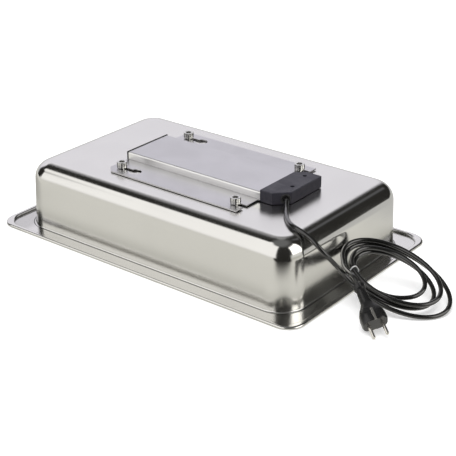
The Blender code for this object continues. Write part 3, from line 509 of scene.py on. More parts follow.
STAINLESS = Finish(
    "Satin polished stainless", "stainless",
    (0.748, 0.744, 0.718), (0.715, 0.71, 0.69), (0.11, 0.14),
    metallic=1.0, stretch=(0.05, 1, 1), grain_scale=1600, grain_depth=0.0000008, grain_shade=0.2,
    smudge_scale=9, ripple_scale=7, ripple_depth=0.00010,
    # Painted shade: the flange darkened, more at its left end
    face_gloss=0.10, wall_gloss=0.06, flange_shade=0.02, end_shade=0.24,
    # Painted shade: a dark line along the crease at the wall's foot
    crease=(0.2588, 0.1558, 0.0407),
)
BRIGHT = Finish(
    "Bright turned steel", "bright_steel",
    (0.70, 0.70, 0.68), (0.58, 0.58, 0.57), (0.20, 0.32),
    metallic=1.0, stretch=(1, 1, 0.1), grain_scale=2600, grain_depth=0.000002, smudge_scale=160,
    wear_and_highlight_colour=(0.92, 0.92, 0.90), wear_and_highlight_share=0.6,
)
SATIN = Finish(
    "Brushed sheet steel", "satin_steel",
    (0.61, 0.605, 0.62), (0.57, 0.565, 0.58), (0.28, 0.33),
    metallic=1.0, stretch=(0.12, 1, 1), grain_scale=1500, grain_depth=0.0000012, grain_shade=0.15,
    # Painted light by the fold: a highlight on the hat's sides, shade on the flange by their root
    speck_scale=1400, speck_share=0.02, speck_colour=(0.84, 0.84, 0.84), fold_shade=0.26,
)
ALUMINIUM = Finish(
    "Rolled aluminium", "aluminium", (0.80, 0.80, 0.80), (0.70, 0.70, 0.71), (0.3, 0.42),
    metallic=1.0, stretch=(0.03, 1, 1), grain_scale=1200, grain_depth=0.000006, grain_shade=0.3,
)
SHEATH = Finish(
    "Heat toned sheath", "element_sheath",
    (0.33, 0.34, 0.31), (0.20, 0.17, 0.13), (0.38, 0.55),
    metallic=1.0, grain_scale=1800, grain_depth=0.000008, smudge_scale=60, smudge_share=0.8,
)
WOOL = Finish(
    "Pressed fibre mat", "insulation", (0.84, 0.82, 0.75), (0.66, 0.62, 0.53), (0.9, 0.98),
    stretch=(0.3, 1, 2), grain_scale=900, grain_depth=0.0002, grain_shade=0.6,
    smudge_scale=40, fuzz=0.3,
)
CERAMIC = Finish(
    "Unglazed ceramic", "ceramic", (0.83, 0.80, 0.73), (0.72, 0.68, 0.60), (0.45, 0.6),
    grain_scale=2500, grain_depth=0.00001, speck_scale=1200, speck_share=0.4,
    speck_colour=(0.5, 0.45, 0.38),
)
MOULDING = Finish(
    "Spark textured moulding", "black_moulding",
    (0.042, 0.040, 0.053), (0.034, 0.033, 0.043), (0.42, 0.54),
    grain_scale=2400, grain_depth=0.00002, grain_shade=0.4, smudge_scale=50,
    speck_scale=1800, speck_share=0.15, speck_colour=(0.060, 0.059, 0.072),
    # Its lighter edges are partly wear, partly a painted edge highlight
    wear_and_highlight_colour=(0.10, 0.10, 0.11), wear_and_highlight_share=0.35, glance=0.3,
)
PLUG_BLACK = Finish(
    "Semi gloss plug moulding", "black_moulding",
    (0.008, 0.008, 0.008), (0.013, 0.013, 0.013), (0.22, 0.32),
    grain_scale=2200, grain_depth=0.00001, smudge_scale=90,
    # Its lighter edges are partly wear, partly a painted edge highlight
    wear_and_highlight_colour=(0.10, 0.10, 0.10), wear_and_highlight_share=0.4,
)
RUBBER = Finish(
    "Soft black rubber", "black_rubber", (0.016, 0.016, 0.016), (0.030, 0.030, 0.030), (0.48, 0.62),
    grain_scale=2600, grain_depth=0.00001, smudge_scale=120, fuzz=0.1,
)
CORD = Finish(
    "Extruded lead sheath", "cord_sheath",
    (0.006, 0.006, 0.0055), (0.010, 0.010, 0.0095), (0.14, 0.22),
    grain_scale=1500, grain_depth=0.000002, smudge_scale=45, ripple_scale=60,
    ripple_depth=0.00003, coat=1.0,
)
NICKEL = Finish(
    "Nickel plate", "nickel", (0.80, 0.78, 0.73), (0.66, 0.63, 0.57), (0.14, 0.26),
    metallic=1.0, grain_scale=2600, grain_depth=0.000002, smudge_scale=150,
    wear_and_highlight_colour=(0.92, 0.90, 0.86), wear_and_highlight_share=0.5,
)
PALE_WIRE = Finish(
    "Coated tie wire", "pale_wire", (0.80, 0.80, 0.79), (0.66, 0.66, 0.65), (0.34, 0.46),
    grain_scale=1800, grain_depth=0.00001, smudge_scale=200,
)
LEAD_BROWN = Finish(
    "Brown insulation", "lead_brown",
    (0.15, 0.06, 0.03), (0.11, 0.04, 0.02), (0.35, 0.5), smudge_scale=90
)
LEAD_GREEN = Finish(
    "Green insulation", "lead_green",
    (0.10, 0.34, 0.07), (0.07, 0.25, 0.05), (0.35, 0.5), smudge_scale=90
)
LEAD_BLUE = Finish(
    "Blue insulation", "lead_blue",
    (0.03, 0.12, 0.40), (0.02, 0.08, 0.30), (0.35, 0.5), smudge_scale=90
)


# Mesh work


def arc(centre: Pair, radius: float, start: float, end: float, steps: int) -> list[Pair]:
    """Points along an arc in a plane, both ends included.

    Args:
        centre: The arc's middle.
        radius: Its radius.
        start: The angle of its first point.
        end: The angle of its last point.
        steps: How many pieces it is cut into.

    Returns:
        The points.
    """
    x, y = centre
    angles = [start + (end - start) * k / steps for k in range(steps + 1)]
    return [(x + radius * math.cos(angle), y + radius * math.sin(angle)) for angle in angles]


def turns(steps: int) -> list[float]:
    """The angles of points at even steps round an axis."""
    return [math.tau * k / steps for k in range(steps)]


def ring_of(reach: Callable[[float], float], height: float, steps: int) -> list[Vector]:
    """Points round an axis at one height, each as far out as its angle gives.

    Args:
        reach: Gives how far out a point is from its angle.
        height: The height.
        steps: How many points there are.

    Returns:
        The ring.
    """
    ring = []
    for turn in turns(steps):
        out = reach(turn)
        ring.append(Vector((out * math.cos(turn), out * math.sin(turn), height)))
    return ring


def turned(profile: Iterable[Pair], steps: int = RING_STEPS) -> Rings:
    """The rings of a turned body, from its radii and heights."""
    return [ring_of(lambda _: radius, height, steps) for radius, height in profile]


def moved(rings: Rings, x: float, y: float = 0.0) -> Rings:
    """The same rings at another place over the plane."""
    return [[point + Vector((x, y, 0)) for point in ring] for ring in rings]


def levelled(outline: Iterable[Pair], levels: Iterable[float]) -> Rings:
    """A flat outline at each of some heights."""
    flat = list(outline)
    return [[Vector((x, y, level)) for x, y in flat] for level in levels]


def rounded_rectangle(
    length: float, width: float, radius: float, height: float, steps: int
) -> list[Vector]:
    """Points round a rectangle with arcs at its corners.

    Args:
        length: Its size along X.
        width: Its size along Y.
        radius: The corners' radius.
        height: The level that it lies at.
        steps: How many pieces each corner is cut into.

    Returns:
        The points.
    """
    points = []
    for quarter, (along, across) in enumerate(((1, 1), (-1, 1), (-1, -1), (1, -1))):
        middle = (along * (length / 2 - radius), across * (width / 2 - radius))
        start = QUARTER * quarter
        points += arc(middle, radius, start, start + QUARTER, steps)
    return [Vector((x, y, height)) for x, y in points]


def skin(rings: Rings, name: str, closed: bool = False) -> Mesh:
    """Skin equal rings of points into one closed body.

    Args:
        rings: The rings, in order.
        name: The mesh's name.
        closed: Whether the last ring joins the first, or both are capped.

    Returns:
        The mesh.
    """
    body = bmesh.new()
    loops = [[body.verts.new(point) for point in ring] for ring in rings]
    pairs = list(zip(loops, loops[1:]))
    if closed:
        pairs.append((loops[-1], loops[0]))
    for first, second in pairs:
        for k in range(len(first)):
            after = (k + 1) % len(first)
            body.faces.new((first[k], first[after], second[after], second[k]))
    if not closed:
        body.faces.new(loops[0])
        body.faces.new(loops[-1])
    bmesh.ops.recalc_face_normals(body, faces=body.faces)
    mesh = bpy.data.meshes.new(name)
    body.to_mesh(mesh)
    body.free()
    return mesh


def joined(meshes: Iterable[Mesh], name: str) -> Mesh:
    """One mesh that holds separate bodies.

    Args:
        meshes: The bodies.
        name: The new mesh's name.

    Returns:
        The mesh.
    """
    body = bmesh.new()
    for mesh in meshes:
        body.from_mesh(mesh)
    made = bpy.data.meshes.new(name)
    body.to_mesh(made)
    body.free()
    return made


def put(data: bpy.types.ID) -> Piece:
    """Put a mesh, a lamp or a camera into the scene under its own name.

    Args:
        data: What is put there.

    Returns:
        The new object.
    """
    made = bpy.data.objects.new(data.name, data)
    bpy.context.scene.collection.objects.link(made)
    return made


def settle(made: Piece) -> None:
    """Keep what a piece's modifiers make as its mesh, and drop them.

    Args:
        made: The piece.
    """
    bpy.context.view_layer.update()
    seen = made.evaluated_get(bpy.context.evaluated_depsgraph_get())
    mesh = bpy.data.meshes.new_from_object(seen)
    made.modifiers.clear()
    made.data = mesh


def cut(made: Piece, bodies: Iterable[Mesh]) -> None:
    """Cut bodies out of a piece, one Boolean each.

    Args:
        made: The piece.
        bodies: The bodies that go.
    """
    tools = []
    for mesh in bodies:
        tool = put(mesh)
        step = made.modifiers.new(mesh.name, "BOOLEAN")
        step.object = tool
        step.operation = "DIFFERENCE"
        step.solver = "EXACT"
        tools.append(tool)
    settle(made)
    for tool in tools:
        bpy.data.objects.remove(tool, do_unlink=True)


def ease(made: Piece, edge: Edge, angle: float) -> None:
    """Break a piece's edges, and shade it as one surface between them.

    Args:
        made: The piece.
        edge: How far the edges are broken.
        angle: The least turn, in degrees, that counts as an edge.
    """
    if edge is not Edge.NONE:
        step = made.modifiers.new("broken_edges", "BEVEL")
        step.width = edge.value
        step.segments = 2
        step.angle_limit = math.radians(angle)
        settle(made)
    made.data.shade_smooth()
    made.data.set_sharp_from_angle(angle=SMOOTH_BELOW)
    weighted = made.modifiers.new("weighted_normals", "WEIGHTED_NORMAL")
    weighted.keep_sharp = True
    settle(made)


def make(
    mesh: Mesh, finish: Finish, body: Body, node: str,
    edge: Edge = Edge.NONE, angle: float = 30, cutters: Iterable[Mesh] = (),
) -> Piece:
    """Make a piece from its mesh, and set it on its body in place of its CAD node.

    Args:
        mesh: Its mesh, under the piece's name.
        finish: Its finish.
        body: What it rides on.
        node: The CAD node that it stands for.
        edge: How far its edges are broken.
        angle: The least turn, in degrees, that counts as an edge.
        cutters: The bodies that are cut out of it.

    Returns:
        The piece.
    """
    made = put(mesh)
    if cutters:
        cut(made, cutters)
    ease(made, edge, angle)
    made.data.materials.clear()
    made.data.materials.append(finish.material())
    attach(made, body.value)
    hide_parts(node)
    log.info("%s: %d faces", node, len(made.data.polygons))
    return made


# Pieces


@dataclass
class WaterPan:
    """The drawn pan, bottom up, with its flat flange and rolled rim."""

    length: float = 0.512
    width: float = 0.306
    height: float = 0.104
    sheet: float = 0.0009
    taper: float = 0.0038
    corner: float = 0.042
    edge: float = 0.028
    foot: float = 0.003
    flange: float = 0.030
    flange_corner: float = 0.028
    bead_width: float = 0.008
    bead_height: float = 0.005
    bead_tuck: float = math.radians(203)
    inset: float = 0.004
    corner_steps: int = 20
    edge_steps: int = 18
    foot_steps: int = 8
    bead_steps: int = 12

    def face(self, side: int) -> list[Pair]:
        """One face of the sheet, from the bottom's middle to the rim's tuck.

        Args:
            side: 1 for the face seen from above, -1 for the one inside the pan.

        Returns:
            For each point, its distance outside the foot of the wall and its height.
        """
        half = side * self.sheet / 2
        lean = math.atan(self.taper / self.height)
        foot_centre = (self.foot, self.sheet / 2 + self.foot)
        edge_radius = self.edge - self.sheet / 2
        edge_z = self.height - self.edge
        wall_x = foot_centre[0] - self.foot * math.cos(lean)
        wall_x -= (edge_z + edge_radius * math.sin(lean) - foot_centre[1]) * math.tan(lean)
        edge_centre = (wall_x - edge_radius * math.cos(lean), edge_z)
        curl = self.bead_height / 2
        curl_radius = curl - self.sheet / 2 - half
        points = arc(edge_centre, edge_radius + half, QUARTER, lean, self.edge_steps)
        points.insert(0, (points[0][0] - self.inset, points[0][1]))
        points += arc(foot_centre, self.foot - half, math.pi + lean, 3 * QUARTER, self.foot_steps)
        points += arc((self.flange - curl, curl), curl_radius, -QUARTER, QUARTER, self.bead_steps)
        inner = (self.flange - self.bead_width + curl, curl)
        points += arc(inner, curl_radius, QUARTER, self.bead_tuck, self.foot_steps)
        return points

    def outline(self, reach: float, height: float) -> list[Vector]:
        """The pan's outline at one level.

        Args:
            reach: Its distance outside the foot of the wall.
            height: The level.

        Returns:
            The ring.
        """
        radius = self.corner + reach
        if reach > 0:
            radius = self.corner + (self.flange_corner - self.corner) * reach / self.flange
        return rounded_rectangle(
            self.length + 2 * reach, self.width + 2 * reach, radius, height, self.corner_steps
        )

    def build(self) -> None:
        """Make the pan."""
        points = self.face(1) + self.face(-1)[::-1]
        mesh = skin([self.outline(*point) for point in points], "drawn_pan")
        make(mesh, STAINLESS, Body.ROOT, "water_pan")


@dataclass
class Fixings:
    """The studs welded to the pan, and the ridged screws on them."""

    x: float = 0.110
    y: float = 0.080
    bottom: float = 0.1043
    stud_radius: float = 0.004
    stud_height: float = 0.0034
    bore_radius: float = 0.0027
    bore_depth: float = 0.0026
    head_radius: float = 0.008
    head_height: float = 0.0093
    chamfer: float = 0.0008
    ridge: float = 0.00035
    ridges: int = 18
    ridge_power: float = 0.6
    ridge_end: float = 0.00032
    socket_half: float = 0.004
    socket_depth: float = 0.005
    shank_radius: float = 0.0023
    steps: int = 108

    def ridged(self, radius: float, height: float, depth: float) -> list[Vector]:
        """A circle drawn in by this depth between the ridges."""
        power = self.ridge_power
        return ring_of(
            lambda turn: radius - depth * (0.5 - 0.5 * math.cos(self.ridges * turn)) ** power,
            height, self.steps,
        )

    def hexagon(self, half: float, height: float) -> list[Vector]:
        """A hexagon of this half width, with as many points as the circles."""
        side = math.pi / 3
        return ring_of(
            lambda turn: half / math.cos((turn + side / 2) % side - side / 2), height, self.steps
        )

    def stud(self) -> Rings:
        """The stud's rings, from its foot over its broken rim into its bore.

        Returns:
            The rings.
        """
        top = self.bottom + self.stud_height
        soft = self.chamfer / 3
        profile = (
            (self.stud_radius, self.bottom),
            (self.stud_radius, top - soft),
            (self.stud_radius - soft, top),
            (self.bore_radius + soft, top),
            (self.bore_radius, top - soft),
            (self.bore_radius, top - self.bore_depth),
        )
        return turned(profile, self.steps)

    def screw(self) -> Rings:
        """The screw's rings, from its shank's end to the floor of its socket.

        Returns:
            The rings.
        """
        seat = self.bottom + self.stud_height + GAP
        foot = seat - self.bore_depth
        top = seat + self.head_height
        rim = self.head_radius - self.chamfer
        soft = self.chamfer / 4
        shank = (
            (self.shank_radius - soft, foot),
            (self.shank_radius, foot + soft),
            (self.shank_radius, seat),
            (rim, seat),
        )
        return [
            *turned(shank, self.steps),
            self.ridged(self.head_radius, seat + self.chamfer, self.ridge),
            self.ridged(self.head_radius, top - self.chamfer, self.ridge),
            self.ridged(self.head_radius - soft, top - self.ridge_end, self.ridge / 2),
            *turned([(rim - soft, top)], self.steps),
            self.hexagon(self.socket_half + self.chamfer / 2, top),
            self.hexagon(self.socket_half, top - self.chamfer / 2),
            self.hexagon(self.socket_half, top - self.socket_depth),
        ]

    def build(self) -> None:
        """Make the four studs and the four screws."""
        spots = [(x, y) for x in (-self.x, self.x) for y in (-self.y, self.y)]
        for number, spot in enumerate(spots, 1):
            stud = skin(moved(self.stud(), *spot), f"welded_stud_{number}")
            make(stud, BRIGHT, Body.ROOT, f"stud_{number}")
            screw = skin(moved(self.screw(), *spot), f"ridged_screw_{number}")
            make(screw, BRIGHT, Body.ROOT, f"cap_screw_{number}")


@dataclass
class HeaterCover:
    """The folded hat section with keyholes, notches and a tongue for the housing."""

    length: float = 0.254
    width: float = 0.200
    sheet: float = 0.0015
    bottom: float = 0.1055
    top: float = 0.1185
    hat: float = 0.094
    hat_end: float = 0.0027
    bend: float = 0.0025
    corner_cut: float = 0.012
    travel: float = 0.027
    slot: float = 0.0044
    opening: float = 0.0097
    screw_x: float = 0.110
    screw_y: float = 0.080
    tongue: float = 0.066
    tongue_length: float = 0.008
    lip: float = 0.0007
    bend_steps: int = 8
    slot_steps: int = 14
    opening_steps: int = 36

    def profile(self) -> list[Pair]:
        """The folded sheet's closed outline across its width.

        Returns:
            Its points, as distances across and heights.
        """
        half = self.hat / 2
        inner = self.bend - self.sheet
        flange_top = self.bottom + self.sheet
        root = half + inner
        edge = self.width / 2
        lip = self.bottom - self.lip
        steps = self.bend_steps
        above = [(edge, flange_top)]
        above += arc((root, flange_top + inner), inner, -QUARTER, -math.pi, steps)
        above += arc((half - self.bend, self.top - self.bend), self.bend, 0, QUARTER, steps)
        below = [(edge, lip), (edge - self.sheet, lip), (edge - self.sheet, self.bottom)]
        below += arc((root, self.bottom + self.bend), self.bend, -QUARTER, -math.pi, steps)
        below += arc((half - self.bend, self.top - self.bend), inner, 0, QUARTER, steps)
        left_above = [(-y, z) for y, z in reversed(above)]
        left_below = [(-y, z) for y, z in below]
        return above + left_above + left_below + below[::-1]

    def keyhole(self, side: int) -> list[Pair]:
        """One keyhole: a slot at the screw that widens to pass its head.

        Args:
            side: 1 or -1, for the side that it is on.

        Returns:
            Its outline.
        """
        throat = math.asin(self.slot / self.opening)
        middle = (-self.screw_x, side * self.screw_y)
        wide = (self.travel - self.screw_x, side * self.screw_y)
        points = arc(middle, self.slot, QUARTER, 3 * QUARTER, self.slot_steps)
        turn = (math.pi + throat, 3 * math.pi - throat)
        return points + arc(wide, self.opening, *turn, self.opening_steps)

    def notch(self, side: int) -> list[Pair]:
        """One slot that runs out through the right edge.

        Args:
            side: 1 or -1, for the side that it is on.

        Returns:
            Its outline.
        """
        middle = (self.screw_x, side * self.screw_y)
        end = self.length / 2 + OVERRUN
        points = arc(middle, self.slot, QUARTER, 3 * QUARTER, self.slot_steps)
        return points + [(end, middle[1] - self.slot), (end, middle[1] + self.slot)]

    def holes(self) -> Mesh:
        """The keyholes, notches and cut corners as cutting bodies.

        Returns:
            One mesh with all of them.
        """
        levels = (self.bottom - self.lip - OVERRUN, self.bottom + self.sheet + OVERRUN)
        left = -self.length / 2
        edge = self.width / 2
        bodies = []
        for side in (-1, 1):
            corner = [
                (left - OVERRUN, side * (edge + OVERRUN)),
                (left - OVERRUN, side * (edge - self.corner_cut - OVERRUN)),
                (left + self.corner_cut + OVERRUN, side * (edge + OVERRUN)),
            ]
            for outline in (self.keyhole(side), self.notch(side), corner):
                bodies.append(skin(levelled(outline, levels), "hole"))
        return joined(bodies, "cover_holes")

    def ends(self) -> Mesh:
        """What goes at the right end, past the flanges and beside the tongue.

        Returns:
            One mesh with both sides.
        """
        foot = self.hat / 2 + self.bend
        tongue = self.tongue / 2
        end = self.length / 2
        right = end + self.hat_end
        far = right + self.tongue_length + OVERRUN
        outer = self.width / 2 + OVERRUN
        plan = [(end, outer), (end, foot), (right, foot)]
        plan += [(right, tongue), (far, tongue), (far, outer)]
        levels = (self.bottom - self.lip - OVERRUN, self.top + OVERRUN)
        bodies = []
        for side in (-1, 1):
            bodies.append(skin(levelled([(x, side * y) for x, y in plan], levels), "end"))
        return joined(bodies, "cover_ends")

    def build(self) -> None:
        """Make the cover."""
        end = self.length / 2 + self.hat_end + self.tongue_length
        rings = [[Vector((x, y, z)) for y, z in self.profile()] for x in (-self.length / 2, end)]
        mesh = skin(rings, "folded_cover")
        cutters = [self.ends(), self.holes()]
        make(mesh, SATIN, Body.HEATER, "heater_cover", Edge.SHEARED, angle=40, cutters=cutters)


@dataclass
class EndCap:
    """The soft cap that closes the hat's left end."""

    left: float = -0.1273
    half: float = 0.0479
    bottom: float = 0.1049
    top: float = 0.1194
    lip: float = 0.0020
    corner: float = 0.0012
    corner_steps: int = 6
    plug: float = 0.007
    plug_half: float = 0.0442
    plug_bottom: float = 0.1066
    plug_top: float = 0.1167

    def section(self, x: float, half: float, low: float, high: float) -> list[Vector]:
        """A rounded section across the cap.

        Args:
            x: Where it stands.
            half: Half its width.
            low: Its lower edge.
            high: Its upper edge.

        Returns:
            The ring.
        """
        middle = (low + high) / 2
        ring = rounded_rectangle(2 * half, high - low, self.corner, 0, self.corner_steps)
        return [Vector((x, point.x, middle + point.y)) for point in ring]

    def build(self) -> None:
        """Make the cap."""
        soft = self.lip / 4
        rings = []
        for out, inset in ((0, 2 * soft), (soft / 2, soft), (soft * 3 / 2, 0), (self.lip, 0)):
            x = self.left - self.lip + out
            rings.append(self.section(x, self.half - inset, self.bottom + inset, self.top - inset))
        for x in (self.left, self.left + self.plug):
            rings.append(self.section(x, self.plug_half, self.plug_bottom, self.plug_top))
        make(skin(rings, "hat_end_cap"), RUBBER, Body.HEATER, "end_cap")


@dataclass
class HeaterInside:
    """The CAD shapes inside the heater, and its housing's base and screws, with their finishes."""

    finishes: tuple[tuple[Finish, tuple[str, ...]], ...] = (
        (ALUMINIUM, ("spreader_plate",)),
        (SHEATH, ("heating_element",)),
        (SATIN, ("element_strap_1", "element_strap_2")),
        (WOOL, ("insulation_mat",)),
        (CERAMIC, ("thermostat", "terminal_block")),
        (NICKEL, ("thermal_fuse",)),
        (LEAD_BROWN, ("inner_lead_1",)),
        (LEAD_GREEN, ("inner_lead_2",)),
        (LEAD_BLUE, ("inner_lead_3",)),
        (MOULDING, ("housing_base",)),
        (BRIGHT, ("housing_screw_1", "housing_screw_2")),
    )

    def build(self) -> None:
        """Give each of them its finish, and keep its shape."""
        for finish, nodes in self.finishes:
            for place in [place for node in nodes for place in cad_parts[node].material_slots]:
                place.material = finish.material()
            log.info("%s: %s", finish.name, ", ".join(nodes))


@dataclass
class Housing:
    """The moulded connector housing at the cover's right end, with its cable gland."""

    left: float = 0.130
    right: float = 0.1715
    width: float = 0.0965
    bottom: float = 0.105
    top: float = 0.1235
    wall: float = 0.0022
    bevel: float = 0.0009
    front_chamfer: float = 0.020
    rear_chamfer: float = 0.014
    screws: tuple[Pair, ...] = ((0.1605, -0.0105), (0.152, 0.033))
    post_bottom: float = 0.1143
    recess: float = 0.0033
    recess_wall: float = 0.0014
    recess_floor: float = 0.0016
    shank: float = 0.0018
    mouth: float = 0.0333
    mouth_top: float = 0.1188
    gland_share: float = 0.70
    gland_height: float = 0.0085
    gland_radius: float = 0.0065
    lip_radius: float = 0.0076
    lip: float = 0.0014
    gland_length: float = 0.018
    tail_radius: float = 0.0048
    mouth_radius: float = 0.0053
    ribs: int = 4
    bore_steps: int = 48

    def plan(self, inset: float) -> list[Pair]:
        """The housing's plan, drawn in by this much all round.

        Args:
            inset: How far it is drawn in.

        Returns:
            The corners.
        """
        front = inset - self.width / 2
        rear = self.width / 2 - inset
        left = self.left + inset
        right = self.right - inset
        shift = inset * (2 - math.sqrt(2))
        near = self.front_chamfer - shift
        far = self.rear_chamfer - shift
        corners = [(left, front), (right - near, front), (right, front + near)]
        return [*corners, (right, rear), (left + far, rear), (left, rear - far)]

    def gland_frame(self) -> tuple[Vector, Vector]:
        """The gland's place on the front chamfer, and the way that it points.

        Returns:
            The place and the way.
        """
        start = Vector((self.right - self.front_chamfer, -self.width / 2, 0))
        end = Vector((self.right, self.front_chamfer - self.width / 2, 0))
        middle = start.lerp(end, self.gland_share)
        middle.z = self.bottom + self.gland_height
        return middle, Vector((1, -1, 0)).normalized()

    def on_axis(self, rings: Rings, name: str) -> Mesh:
        """A turned body on the gland's axis.

        Args:
            rings: Its rings along Z.
            name: The mesh's name.

        Returns:
            The mesh.
        """
        middle, axis = self.gland_frame()
        pose = Matrix.Translation(middle) @ axis.to_track_quat("Z", "Y").to_matrix().to_4x4()
        return skin([[pose @ point for point in ring] for ring in rings], name)

    def cavity(self) -> Mesh:
        """The hollow inside, with the screw recesses' posts left standing.

        Returns:
            The cutting body.
        """
        levels = (self.bottom - OVERRUN, self.top - self.wall)
        hollow = put(skin(levelled(self.plan(self.wall), levels), "hollow"))
        radius = self.recess + self.recess_wall
        post = turned(((radius, self.post_bottom), (radius, self.top)), ROUND_STEPS)
        cut(hollow, [joined([skin(moved(post, *spot), "post") for spot in self.screws], "posts")])
        mesh = hollow.data
        bpy.data.objects.remove(hollow, do_unlink=True)
        mesh.name = "cavity"
        return mesh

    def openings(self) -> Mesh:
        """The recesses, the gland's bore and the mouth for the cover's tongue.

        Returns:
            One mesh with all of them.
        """
        floor = self.post_bottom + self.recess_floor
        profile = (
            (self.recess, self.top + OVERRUN),
            (self.recess, floor),
            (self.shank, floor),
            (self.shank, self.post_bottom - OVERRUN),
        )
        recess = turned(profile, ROUND_STEPS)
        bodies = [skin(moved(recess, *spot), "recess") for spot in self.screws]
        bore = self.gland_radius + GAP
        profile = ((bore, -self.wall - OVERRUN), (bore, OVERRUN))
        bodies.append(self.on_axis(turned(profile, self.bore_steps), "bore"))
        near = self.left - OVERRUN
        far = self.left + self.wall + OVERRUN / 2
        outline = [(near, -self.mouth), (far, -self.mouth), (far, self.mouth), (near, self.mouth)]
        levels = (self.bottom - OVERRUN, self.mouth_top)
        bodies.append(skin(levelled(outline, levels), "mouth"))
        return joined(bodies, "housing_openings")

    def cover(self) -> None:
        """Make the moulded cover."""
        rings = []
        for inset, level in ((0, self.bottom), (0, self.top - self.bevel), (self.bevel, self.top)):
            rings += levelled(self.plan(inset), (level,))
        mesh = skin(rings, "moulded_housing")
        cutters = [self.cavity(), self.openings()]
        make(mesh, MOULDING, Body.HEATER, "housing_cover", Edge.SHEARED, cutters=cutters)

    def gland(self) -> None:
        """Make the ribbed grommet that grips the lead."""
        lip = self.lip_radius
        back = -self.wall - GAP - self.lip
        tail = self.lip - self.gland_length
        soft = self.lip / 4
        half = self.lip / 2
        profile = [(self.tail_radius, tail)]
        for k in range(self.ribs):
            share = (k + 0.5) / self.ribs
            level = tail + (back - tail) * share
            radius = self.tail_radius + (self.gland_radius - self.tail_radius) * share
            profile += [(radius, level - soft), (radius - soft, level), (radius, level + soft)]
        profile += [
            (self.gland_radius, back),
            (self.gland_radius, GAP),
            (lip - soft, GAP),
            (lip, GAP + soft),
            (lip, half),
            (lip - soft, self.lip - soft),
            (lip - half, self.lip),
            (self.mouth_radius, self.lip),
            (self.mouth_radius - soft, self.lip - soft),
            (self.mouth_radius - half, -self.lip),
        ]
        mesh = self.on_axis(turned(profile), "ribbed_gland")
        make(mesh, RUBBER, Body.HEATER, "cable_gland")

    def build(self) -> None:
        """Make the housing's pieces."""
        self.cover()
        self.gland()


